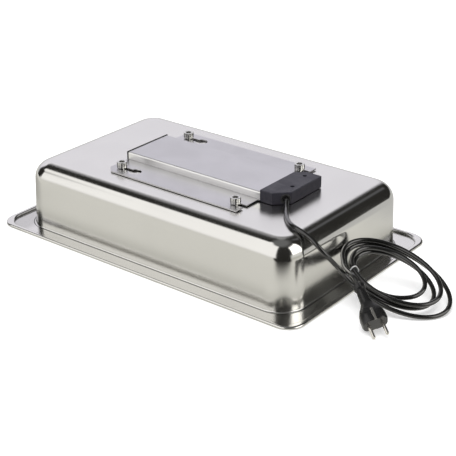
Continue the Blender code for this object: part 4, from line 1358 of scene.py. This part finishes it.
@dataclass
class Plug:
    """The moulded plug on the lead's end, with two pins and two earth clips."""

    tail: Triple = (0.3206, -0.0811, 0.0460)
    aim: Triple = (0.0649, -0.0408, -0.0405)
    roll: float = math.radians(-14)
    length: float = 0.0672
    half_width: float = 0.0180
    half_height: float = 0.0150
    pin_radius: float = 0.0024
    pin_length: float = 0.0195
    pin_spacing: float = 0.0190
    pin_root: float = 0.006
    pin_tip: float = 0.0015
    clip_width: float = 0.0036
    clip_sheet: float = 0.0008
    clip_length: float = 0.0190
    clip_channel: float = 0.0022
    clip_bulge: float = 0.0007
    # Shares of the length, width and height, and squareness
    shares: tuple[tuple[float, float, float, float], ...] = (
        (0.000, 0.22, 0.26, 2.0),
        (0.030, 0.38, 0.46, 2.0),
        (0.055, 0.47, 0.57, 2.0),
        (0.150, 0.47, 0.57, 2.0),
        (0.180, 0.37, 0.45, 2.0),
        (0.480, 0.44, 0.52, 2.1),
        (0.560, 0.58, 0.58, 2.3),
        (0.640, 0.78, 0.70, 2.5),
        (0.730, 0.93, 0.86, 2.7),
        (0.830, 1.00, 0.97, 2.8),
        (0.960, 1.00, 1.00, 2.8),
        (1.000, 0.95, 0.94, 2.8),
    )
    # Shares of the tip's rounding: inward, and back from the end
    pin_rounding: tuple[Pair, ...] = ((0, 1), (0.12, 0.6), (0.35, 0.25), (0.65, 0.06), (1, 0))
    steps: int = RING_STEPS
    pin_steps: int = 40
    clip_steps: int = 24

    def pose(self) -> Matrix:
        """The plug's frame: its own Z runs from its tail to its pins.

        Returns:
            The frame's matrix.
        """
        aim = Vector(self.aim).normalized()
        level = Vector((-aim.y, aim.x, 0)).normalized()
        upper = aim.cross(level)
        across = level * math.cos(self.roll) - upper * math.sin(self.roll)
        turn = Matrix((across, aim.cross(across), aim)).transposed().to_4x4()
        return Matrix.Translation(self.tail) @ turn

    def section(self, share: float, wide: float, high: float, square: float) -> list[Vector]:
        """A ring of the body.

        Args:
            share: How far along the body it stands.
            wide: Its share of the body's width.
            high: Its share of the body's height.
            square: 2 for an ellipse, and more for a squarer ring.

        Returns:
            The ring.
        """
        half_x = self.half_width * wide
        half_y = self.half_height * high
        ring = []
        for turn in turns(self.steps):
            way = (math.cos(turn), math.sin(turn))
            x, y = (math.copysign(abs(part) ** (2 / square), part) for part in way)
            ring.append(Vector((half_x * x, half_y * y, self.length * share)))
        return ring

    def placed(self, rings: Rings, name: str) -> Mesh:
        """Rings in the plug's frame as a mesh in the scene's."""
        pose = self.pose()
        return skin([[pose @ point for point in ring] for ring in rings], name)

    def cutters(self) -> Mesh:
        """The pins' holes and the clips' channels.

        Returns:
            One mesh with all of them.
        """
        end = self.length + OVERRUN
        bore = self.pin_radius + GAP
        hole = turned(((bore, self.length - self.pin_root - GAP), (bore, end)), ROUND_STEPS)
        half = self.clip_width / 2 + GAP
        start = self.length - self.clip_length - GAP
        bodies = []
        for side in (-1, 1):
            bodies.append(self.placed(moved(hole, side * self.pin_spacing / 2), "pin_hole"))
        for side in (-1, 1):
            floor = side * (self.half_height - self.clip_channel)
            outside = side * (self.half_height + OVERRUN)
            outline = ((-half, floor), (half, floor), (half, outside), (-half, outside))
            bodies.append(self.placed(levelled(outline, (start, end)), "channel"))
        return joined(bodies, "plug_cuts")

    def body(self) -> Piece:
        """Make the moulded body.

        Returns:
            The body.
        """
        mesh = self.placed([self.section(*share) for share in self.shares], "moulded_plug")
        holes = [self.cutters()]
        return make(mesh, PLUG_BLACK, Body.ROOT, "plug_body", Edge.SHEARED, angle=40, cutters=holes)

    def pin(self, number: int, side: int) -> Piece:
        """Make a round pin.

        Args:
            number: The number in its name.
            side: 1 or -1, for the side that it is on.

        Returns:
            The pin.
        """
        end = self.length + self.pin_length
        profile = [(self.pin_radius, self.length - self.pin_root)]
        for inward, back in self.pin_rounding:
            profile.append((self.pin_radius - self.pin_tip * inward, end - self.pin_tip * back))
        rings = moved(turned(profile, self.pin_steps), side * self.pin_spacing / 2)
        mesh = self.placed(rings, f"round_pin_{number}")
        return make(mesh, NICKEL, Body.ROOT, f"plug_pin_{number}")

    def clip(self, number: int, side: int) -> Piece:
        """Make a springy earth clip.

        Args:
            number: The number in its name.
            side: 1 or -1, for the side that it is on.

        Returns:
            The clip.
        """
        half = self.clip_width / 2
        start = self.length - self.clip_length
        base = self.half_height - self.clip_channel + GAP
        rings = []
        for k in range(self.clip_steps + 1):
            share = k / self.clip_steps
            rise = self.clip_bulge * math.sin(math.pi * share)
            low = side * (base + rise)
            high = side * (base + rise + self.clip_sheet)
            outline = ((-half, low), (half, low), (half, high), (-half, high))
            rings += levelled(outline, (start + self.clip_length * share,))
        mesh = self.placed(rings, f"spring_clip_{number}")
        return make(mesh, NICKEL, Body.ROOT, f"earth_clip_{number}", Edge.SHEARED, angle=50)

    def build(self) -> list[Piece]:
        """Make the plug.

        Returns:
            Its pieces.
        """
        made = [self.body()]
        for build in (self.pin, self.clip):
            made += [build(number, side) for number, side in enumerate((-1, 1), 1)]
        return made


@dataclass
class Lead:
    """The lead: its free run from the gland, its tied hank and its tail to the plug.

    Its outer and inner loops have their own sizes and middles, and it spirals between them.
    """

    housing: Housing
    plug: Plug
    diameter: float = 0.0066
    spacing: float = 0.0150
    foot: Triple = (0.4088, -0.0441, 0.0055)
    heading: float = math.radians(56)
    slope: float = math.atan(0.35)
    turn: float = math.radians(33.3)
    outer: Pair = (0.0588, 0.0923)
    inner: Pair = (0.0357, 0.0486)
    outer_middle: Pair = (-0.0090, 0.0841)
    inner_middle: Pair = (-0.0184, 0.0865)
    turns: int = 4
    start: float = math.radians(177)
    finish: float = math.radians(125)
    last_share: float = 0.20
    points_per_turn: int = 24
    layer_rise: float = 0.0074
    tail_points: int = 5
    tail_pull: float = 0.024
    tie_angle: float = math.radians(138)
    tie_diameter: float = 0.0016
    tie_steps: int = 60
    tie_sides: int = 12
    sides: int = 20
    # The free route from the gland to the hank
    route: tuple[Triple, ...] = (
        (0.1741, -0.0433, 0.1112),
        (0.1901, -0.0676, 0.1084),
        (0.2073, -0.0850, 0.1077),
        (0.2206, -0.0934, 0.1081),
        (0.2354, -0.0972, 0.1070),
        (0.2546, -0.0968, 0.0988),
        (0.2700, -0.0985, 0.0894),
        (0.2796, -0.0899, 0.0746),
        (0.2862, -0.0817, 0.0622),
        (0.2867, -0.0677, 0.0466),
        (0.2938, -0.0624, 0.0367),
        (0.3011, -0.0601, 0.0302),
    )

    def axes(self) -> tuple[Vector, Vector, Vector]:
        """The hank's own axes.

        Returns:
            The ways along its foot, up its slope, and square to both.
        """
        foot = Vector((math.cos(self.heading), math.sin(self.heading), 0))
        level = Vector((-foot.y, foot.x, 0))
        slope = level * math.cos(self.slope) + Vector((0, 0, math.sin(self.slope)))
        return foot, slope, foot.cross(slope)

    def hank_point(self, angle: float, share: float, layer: float) -> Vector:
        """A point on a turn.

        Args:
            angle: How far round the loop.
            share: 0 on the largest loop and 1 on the smallest.
            layer: 0 in the lower layer and 1 in the upper.

        Returns:
            The point.
        """
        foot, slope, square = self.axes()
        across = self.outer[0] + (self.inner[0] - self.outer[0]) * share
        along = self.outer[1] + (self.inner[1] - self.outer[1]) * share
        middle = Vector(self.outer_middle).lerp(Vector(self.inner_middle), share)
        spot = Vector((across * math.cos(angle), along * math.sin(angle)))
        flat = middle + Matrix.Rotation(self.turn, 2) @ spot
        above = square * self.layer_rise * (layer - 0.5)
        return Vector(self.foot) + foot * flat.x + slope * flat.y + above

    def hank(self) -> list[Vector]:
        """The loops, spiralling in and then out again, and the tail to the plug.

        Returns:
            The points.
        """
        sweep = math.tau * self.turns + self.finish - self.start
        reverse = sweep / (2 - self.last_share)
        count = round(sweep / math.tau * self.points_per_turn)
        loops = []
        for k in range(count + 1):
            travel = sweep * k / count
            share = travel / reverse if travel < reverse else 2 - travel / reverse
            climb = min(1.0, max(0.0, (travel - reverse) / math.pi + 0.5))
            layer = climb * climb * (3 - 2 * climb)
            loops.append(self.hank_point(self.start + travel, share, layer))
        entry = (loops[1] - loops[0]).normalized()
        aim = Vector(self.plug.aim).normalized()
        end = Vector(self.plug.tail) - aim * GAP
        straight = end - aim * self.diameter
        leave = (loops[-1] - loops[-2]).normalized()
        first = loops[-1] + leave * self.tail_pull
        second = straight - aim * self.tail_pull / 2
        tail = bend_between([loops[-1], first, second, straight], self.tail_points)[1:]
        return [loops[0] - entry * self.diameter, *loops, *tail, end]

    def run(self, hank: Sequence[Vector]) -> list[Vector]:
        """The free run from the gland, over the pan's edge and down to the hank.

        Args:
            hank: The hank's points.

        Returns:
            The points.
        """
        middle, axis = self.housing.gland_frame()
        start = middle + axis * (self.housing.lip + GAP)
        entry = (hank[1] - hank[0]).normalized()
        end = hank[0] - entry * GAP
        stops = [start + axis * self.diameter, *(Vector(stop) for stop in self.route)]
        stops += [end - entry * 2 * self.diameter, end - entry * self.diameter]
        return [start, *even_route(stops, self.spacing)]

    def tube(self, points: Sequence[Vector], name: str) -> Mesh:
        """A round tube on a smooth curve through points.

        Args:
            points: The points.
            name: The mesh's name.

        Returns:
            The mesh.
        """
        fine = curve_through(points, steps=3)
        ends = [fine[0], *fine, fine[-1]]
        along = [(after - before).normalized() for before, after in zip(ends, ends[2:])]
        side = along[0].cross(Vector((0, 0, 1))).normalized()
        rings = []
        for point, way in zip(fine, along):
            side = (side - way * side.dot(way)).normalized()
            rings.append(ring_round(point, side, way.cross(side), self.diameter, self.sides))
        return skin(rings, name)

    def tie(self, points: Sequence[Vector]) -> Piece:
        """Make the pale wire tie round the gathered loops.

        Args:
            points: The hank's points.

        Returns:
            The tie.
        """
        middle = self.hank_point(self.tie_angle, 0.5, 0.5)
        ahead = self.hank_point(self.tie_angle + math.tau / self.points_per_turn, 0.5, 0.5)
        along = (ahead - middle).normalized()
        square = self.axes()[2]
        foot = along.cross(square)
        passes = []
        # The tail to the plug runs outside the tie
        bundle = points[: -self.tail_points - 1]
        for first, second in zip(bundle, bundle[1:]):
            before = (first - middle).dot(along)
            after = (second - middle).dot(along)
            if before * after <= 0 and (first - middle).length < self.outer[0]:
                passes.append(first.lerp(second, before / (before - after)) - middle)
        flat = [Vector((point.dot(foot), point.dot(square))) for point in passes]
        clear = self.diameter / 2 + self.tie_diameter / 2 + RUNNING_GAP
        rings = []
        for angle in turns(self.tie_steps):
            outward = Vector((math.cos(angle), math.sin(angle)))
            spot = max(flat, key=outward.dot) + outward * clear
            centre = middle + foot * spot.x + square * spot.y
            way = foot * outward.x + square * outward.y
            rings.append(ring_round(centre, way, along, self.tie_diameter, self.tie_sides))
        return make(skin(rings, "wire_tie", closed=True), PALE_WIRE, Body.ROOT, "cord_tie")

    def build(self) -> None:
        """Make the lead, the plug on its end and the tie round its loops."""
        hank = self.hank()
        points = [*self.run(hank), *hank]
        lead = put(self.tube(points, "mains_lead"))
        lead.data.shade_smooth()
        lead.data.materials.append(CORD.material())
        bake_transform(lead)
        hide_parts("cord_run", "cord_coil")
        length = sum((b - a).length for a, b in zip(points, points[1:]))
        tie = self.tie(hank)
        pieces = self.plug.build()
        tuple(points[0])
        [tuple(point) for point in points]
        log.info("lead: %.2f m, %d faces", length, len(lead.data.polygons))


def ring_round(
    centre: Vector, side: Vector, up: Vector, diameter: float, steps: int
) -> list[Vector]:
    """A circle round a point, on two axes square to each other."""
    ways = [side * math.cos(turn) + up * math.sin(turn) for turn in turns(steps)]
    return [centre + way * diameter / 2 for way in ways]


def bend_between(handles: Sequence[Vector], count: int) -> list[Vector]:
    """Points of a smooth bend that leaves and arrives along its two handles.

    Args:
        handles: Its start, its two handles and its end.
        count: How many pieces it is cut into.

    Returns:
        The points, both ends included.
    """
    points = []
    for k in range(count + 1):
        t = k / count
        weights = ((1 - t) ** 3, 3 * t * (1 - t) ** 2, 3 * t * t * (1 - t), t**3)
        points.append(sum((w * handle for w, handle in zip(weights, handles)), Vector()))
    return points


def curve_through(stops: Sequence[Vector], steps: int) -> list[Vector]:
    """Points on a smooth curve through the stops.

    Args:
        stops: The stops.
        steps: How many pieces each stretch is cut into.

    Returns:
        The points, both ends included.
    """
    ends = [2 * stops[0] - stops[1], *stops, 2 * stops[-1] - stops[-2]]
    fine = []
    for a, b, c, d in zip(ends, ends[1:], ends[2:], ends[3:]):
        for k in range(steps):
            t = k / steps
            bend = (2 * a - 5 * b + 4 * c - d) * t * t + (3 * b - a - 3 * c + d) * t**3
            fine.append(b + ((c - a) * t + bend) / 2)
    return [*fine, stops[-1]]


def even_route(stops: Sequence[Vector], spacing: float) -> list[Vector]:
    """Points at an even spacing on a smooth curve through the stops.

    Args:
        stops: The stops.
        spacing: About how far apart the points are.

    Returns:
        The points.
    """
    fine = curve_through(stops, steps=16)
    lengths = [0.0]
    for first, second in zip(fine, fine[1:]):
        lengths.append(lengths[-1] + (second - first).length)
    count = max(2, round(lengths[-1] / spacing))
    points = []
    place = 0
    for k in range(count + 1):
        wanted = lengths[-1] * k / count
        while place < len(fine) - 2 and lengths[place + 1] < wanted:
            place += 1
        share = (wanted - lengths[place]) / (lengths[place + 1] - lengths[place])
        points.append(fine[place].lerp(fine[place + 1], share))
    return points


class Facing(Enum):
    """The way that a panel's headings are counted from."""

    BACK = 1
    FRONT = -1


@dataclass(frozen=True)
class Panel:
    """A soft panel of the studio, as polished metal sees it.

    Headings are counted from its facing towards the right, heights up from level, and the
    blur of its sides and of its ends goes each way from them, all in degrees.
    """

    facing: Facing
    headings: Pair
    heights: Pair
    blur: Pair
    colour: Triple

    def mask(self, graph: Graph, x: object, y: object, height: object) -> Socket:
        """How much of the panel is seen in a direction.

        Args:
            graph: The world's graph.
            x: The direction's part along X.
            y: The direction's part along Y.
            height: Its height in radians.

        Returns:
            The share.
        """
        heading = graph.math("ARCTAN2", x, graph.times(y, float(self.facing.value)))
        sides = []
        spans = (self.headings, self.heights)
        for value, span, soft in zip((heading, height), spans, self.blur):
            low, high, blur = (math.radians(limit) for limit in (*span, soft))
            sides.append(graph.step(value, low - blur, low + blur))
            sides.append(graph.step(value, high + blur, high - blur))
        share = sides[0]
        for side in sides[1:]:
            share = graph.times(share, side)
        return share


@dataclass(frozen=True)
class LitTable:
    """The table as polished metal sees it: shaded round the pan, brightest far left.

    Each line or reach is where a colour begins and where it is full, in metres.
    """

    front: Triple = (0.58, 0.57, 0.51)
    middle: Triple = (0.80, 0.785, 0.735)
    middle_line: Pair = (0.90, 0.30)
    back: Triple = (0.60, 0.595, 0.58)
    back_line: Pair = (0.15, 0.30)
    far_left: Triple = (0.80, 0.80, 0.80)
    far_left_line: Pair = (1.2, 2.6)
    # The unlit wedge in front: its way, its middle, its slope and its lines
    wedge_way: Pair = (0.61, 0.79)
    wedge_middle: float = 0.135
    wedge_start: float = 0.26
    wedge_slope: float = 0.68
    wedge_line: Pair = (0.05, -0.03)
    wedge_reach: Pair = (0.128, 0.160)
    # The shade left of the pan
    left: Triple = (0.22, 0.215, 0.20)
    left_line: Pair = (-0.02, 0.08)
    left_reach: Pair = (0.60, 0.25)
    left_share: float = 0.55
    left_front: Pair = (-0.32, -0.12)
    # The shade close to the pan
    close: Triple = (0.20, 0.20, 0.165)
    close_reach: float = 0.05
    close_share: float = 0.34

    def wedge(self, graph: Graph, x: Socket, y: Socket) -> Socket:
        """The share of the unlit wedge in front.

        Args:
            graph: The floor's graph.
            x: The place along X.
            y: The place along Y.

        Returns:
            The share.
        """
        cosine, sine = self.wedge_way
        away = graph.minus(graph.times(x, cosine), graph.times(y, sine))
        across = graph.plus(graph.times(x, sine), graph.times(y, cosine))
        aside = graph.math("ABSOLUTE", graph.minus(across, self.wedge_middle))
        reach = graph.minus(away, self.wedge_start)
        beside = graph.minus(aside, graph.times(reach, self.wedge_slope))
        wide = graph.step(beside, *self.wedge_line)
        return graph.times(wide, graph.step(reach, *self.wedge_reach))

    def colour(self, graph: Graph, dark: Triple) -> Socket:
        """The table's light over its surface.

        Args:
            graph: The floor's graph.
            dark: The colour of the unlit wedge.

        Returns:
            The colour.
        """
        x, y, _ = graph.parts()
        low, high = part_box("water_pan")
        colour = graph.mix(graph.step(x, *self.middle_line), self.front, self.middle)
        colour = graph.mix(graph.step(y, *self.back_line), colour, self.back)
        left = graph.step(graph.minus(y, x), *self.far_left_line)
        colour = graph.mix(left, colour, self.far_left)
        colour = graph.mix(self.wedge(graph, x, y), colour, dark)
        beyond = graph.minus(low[0], x)
        ends = graph.step(beyond, *self.left_reach, 0.0, self.left_share)
        shaded = graph.times(graph.step(beyond, *self.left_line), ends)
        shaded = graph.times(shaded, graph.step(y, *self.left_front))
        colour = graph.mix(shaded, colour, self.left)
        gaps = []
        for value, start, end in ((x, low[0], high[0]), (y, low[1], high[1])):
            beside = graph.larger(graph.minus(start, value), graph.minus(value, end))
            gaps.append(graph.larger(beside, 0.0))
        close = graph.step(graph.plus(*gaps), self.close_reach, 0.0, 0.0, self.close_share)
        return graph.mix(close, colour, self.close)


@dataclass
class Studio:
    """The pale floor, the soft lamps, the world and the camera.

    Its dark is what polished metal sees between the panels.
    """

    camera_place: Triple = (1.0736, -1.3296, 0.8131)
    camera_aim: Triple = (0.05482, -0.02132, 0.0300)
    lens: float = 95.08
    shift: Pair = (-0.005, 0.0004)
    floor_size: float = 12.0
    floor_cells: int = 24
    floor_colour: Triple = (0.88, 0.88, 0.875)
    floor_shade: Triple = (0.8668, 0.8668, 0.861875)
    floor_glow: Triple = (0.34, 0.34, 0.34)
    fill_below: Triple = (0.36, 0.36, 0.36)
    fill_above: Triple = (0.93, 0.93, 0.94)
    dark: Triple = (0.022, 0.021, 0.019)
    # Each lamp's name, place, side and power
    lamps: tuple[tuple[str, Triple, float, float], ...] = (
        ("overhead_lamp", (0.3, -0.6, 2.4), 1.8, 30),
        ("left_lamp", (-2.0, -0.9, 1.6), 1.4, 14),
    )
    panels: tuple[Panel, ...] = (
        Panel(Facing.BACK, (-200, 200), (66, 100), (1, 10), (0.15, 0.15, 0.15)),
        Panel(Facing.BACK, (-48, -24), (42, 64), (5, 12), (0.36, 0.36, 0.36)),
        Panel(Facing.BACK, (3, 14), (30, 56), (4, 4), (0.11, 0.11, 0.115)),
        Panel(Facing.BACK, (-66, -40), (24, 48), (8, 12), (0.36, 0.35, 0.365)),
        Panel(Facing.BACK, (-86, -18), (-90, 34), (5, 4), (0.93, 0.91, 0.98)),
        Panel(Facing.BACK, (-80, -24), (30, 36), (5, 3), (1.28, 1.26, 1.32)),
        Panel(Facing.BACK, (-92, -12), (-90, 9), (6, 7), (0.62, 0.62, 0.62)),
        Panel(Facing.BACK, (-30, 14), (-90, 3), (8, 5), (0.62, 0.62, 0.62)),
        Panel(Facing.BACK, (47, 98), (7, 55), (3, 6), (2.4, 2.35, 2.28)),
        Panel(Facing.BACK, (10, 70), (-90, 2), (8, 3), (0.80, 0.79, 0.76)),
        Panel(Facing.BACK, (60, 106), (-90, 14), (6, 5), (0.80, 0.79, 0.76)),
        Panel(Facing.FRONT, (-62, 14), (-90, 6), (6, 5), (0.96, 0.94, 0.92)),
        Panel(Facing.FRONT, (-55, 14), (3, 66), (3, 5), (1.16, 1.14, 1.12)),
        Panel(Facing.FRONT, (-74, -44), (36, 66), (3, 4), (1.16, 1.14, 1.12)),
    )

    def camera(self) -> None:
        """Set the camera at the photograph's angle."""
        data = bpy.data.cameras.new("photo_camera")
        data.lens = self.lens
        data.shift_x, data.shift_y = self.shift
        made = put(data)
        made.location = self.camera_place
        way = Vector(self.camera_aim) - Vector(self.camera_place)
        made.rotation_euler = way.to_track_quat("-Z", "Y").to_euler()
        bpy.context.scene.camera = made

    def floor(self) -> None:
        """Lay the floor: white to the lens, a lit table to polished metal."""
        cells = self.floor_cells
        grid = bmesh.new()
        bmesh.ops.create_grid(grid, x_segments=cells, y_segments=cells, size=self.floor_size / 2)
        mesh = bpy.data.meshes.new("floor")
        grid.to_mesh(mesh)
        grid.free()
        floor = put(mesh)
        made = bpy.data.materials.new("Pale paper floor")
        made.use_nodes = True
        graph = Graph(made.node_tree)
        rays = graph.add("ShaderNodeLightPath", {}).outputs
        mirrored = rays["Is Glossy Ray"]
        smudges = SMUDGES.use(graph, Scale=2.0, Softness=0.3)
        paper = graph.mix(smudges.outputs["Mask"], self.floor_colour, self.floor_shade)
        seen = graph.larger(rays["Is Camera Ray"], rays["Is Transmission Ray"])
        lit = LitTable().colour(graph, self.dark)
        inputs = {
            "Base Color": graph.mix(mirrored, paper, BLACK),
            "Emission Color": graph.mix(mirrored, self.floor_glow, lit),
            "Emission Strength": graph.larger(seen, mirrored),
            "Roughness": 0.9,
            "Specular IOR Level": 0.0,
        }
        graph.fill("Principled BSDF", inputs)
        floor.data.materials.append(made)

    def lamp(self, name: str, place: Triple, size: float, power: float) -> None:
        """Hang a soft lamp that points at the pan.

        Args:
            name: Its name.
            place: Where it hangs.
            size: Its side.
            power: Its power in watts.
        """
        data = bpy.data.lights.new(name, "AREA")
        data.shape = "SQUARE"
        data.size = size
        data.energy = power
        made = put(data)
        made.location = place
        made.rotation_euler = (-Vector(place)).to_track_quat("-Z", "Y").to_euler()
        made.visible_glossy = False

    def picture(self, graph: Graph) -> Socket:
        """What polished metal sees of the studio, by direction.

        Args:
            graph: The world's graph.

        Returns:
            The colour, from the dark room to the white panels.
        """
        x, y, z = graph.parts("Generated")
        height = graph.math("ARCSINE", z)
        colour = self.dark
        for panel in self.panels:
            colour = graph.mix(panel.mask(graph, x, y, height), colour, panel.colour)
        return colour

    def world(self) -> None:
        """Set the world: white to the lens, graded to matt pieces, a studio to polished ones."""
        world = bpy.data.worlds.new("studio")
        bpy.context.scene.world = world
        world.use_nodes = True
        graph = Graph(world.node_tree)
        rays = graph.add("ShaderNodeLightPath", {}).outputs
        fill = graph.mix(graph.parts("Generated")[2], self.fill_below, self.fill_above)
        colour = graph.mix(rays["Is Glossy Ray"], fill, self.picture(graph))
        seen = graph.larger(rays["Is Camera Ray"], rays["Is Transmission Ray"])
        white = graph.mix(seen, colour, (1.0, 1.0, 1.0))
        graph.fill("Background", {"Color": white, "Strength": 1.0})

    def build(self) -> None:
        """Set up the studio."""
        bpy.context.scene.view_settings.view_transform = "Standard"
        self.floor()
        for lamp in self.lamps:
            self.lamp(*lamp)
        self.world()
        log.info("studio: floor, two lamps, world")


def main() -> None:
    """Build the studio and the heated pan, piece by piece."""
    studio = Studio()
    studio.camera()
    housing = Housing()
    Lead(housing, Plug()).build()
    WaterPan().build()
    Fixings().build()
    HeaterCover().build()
    EndCap().build()
    HeaterInside().build()
    housing.build()
    studio.build()


if __name__ == "__main__":
    main()
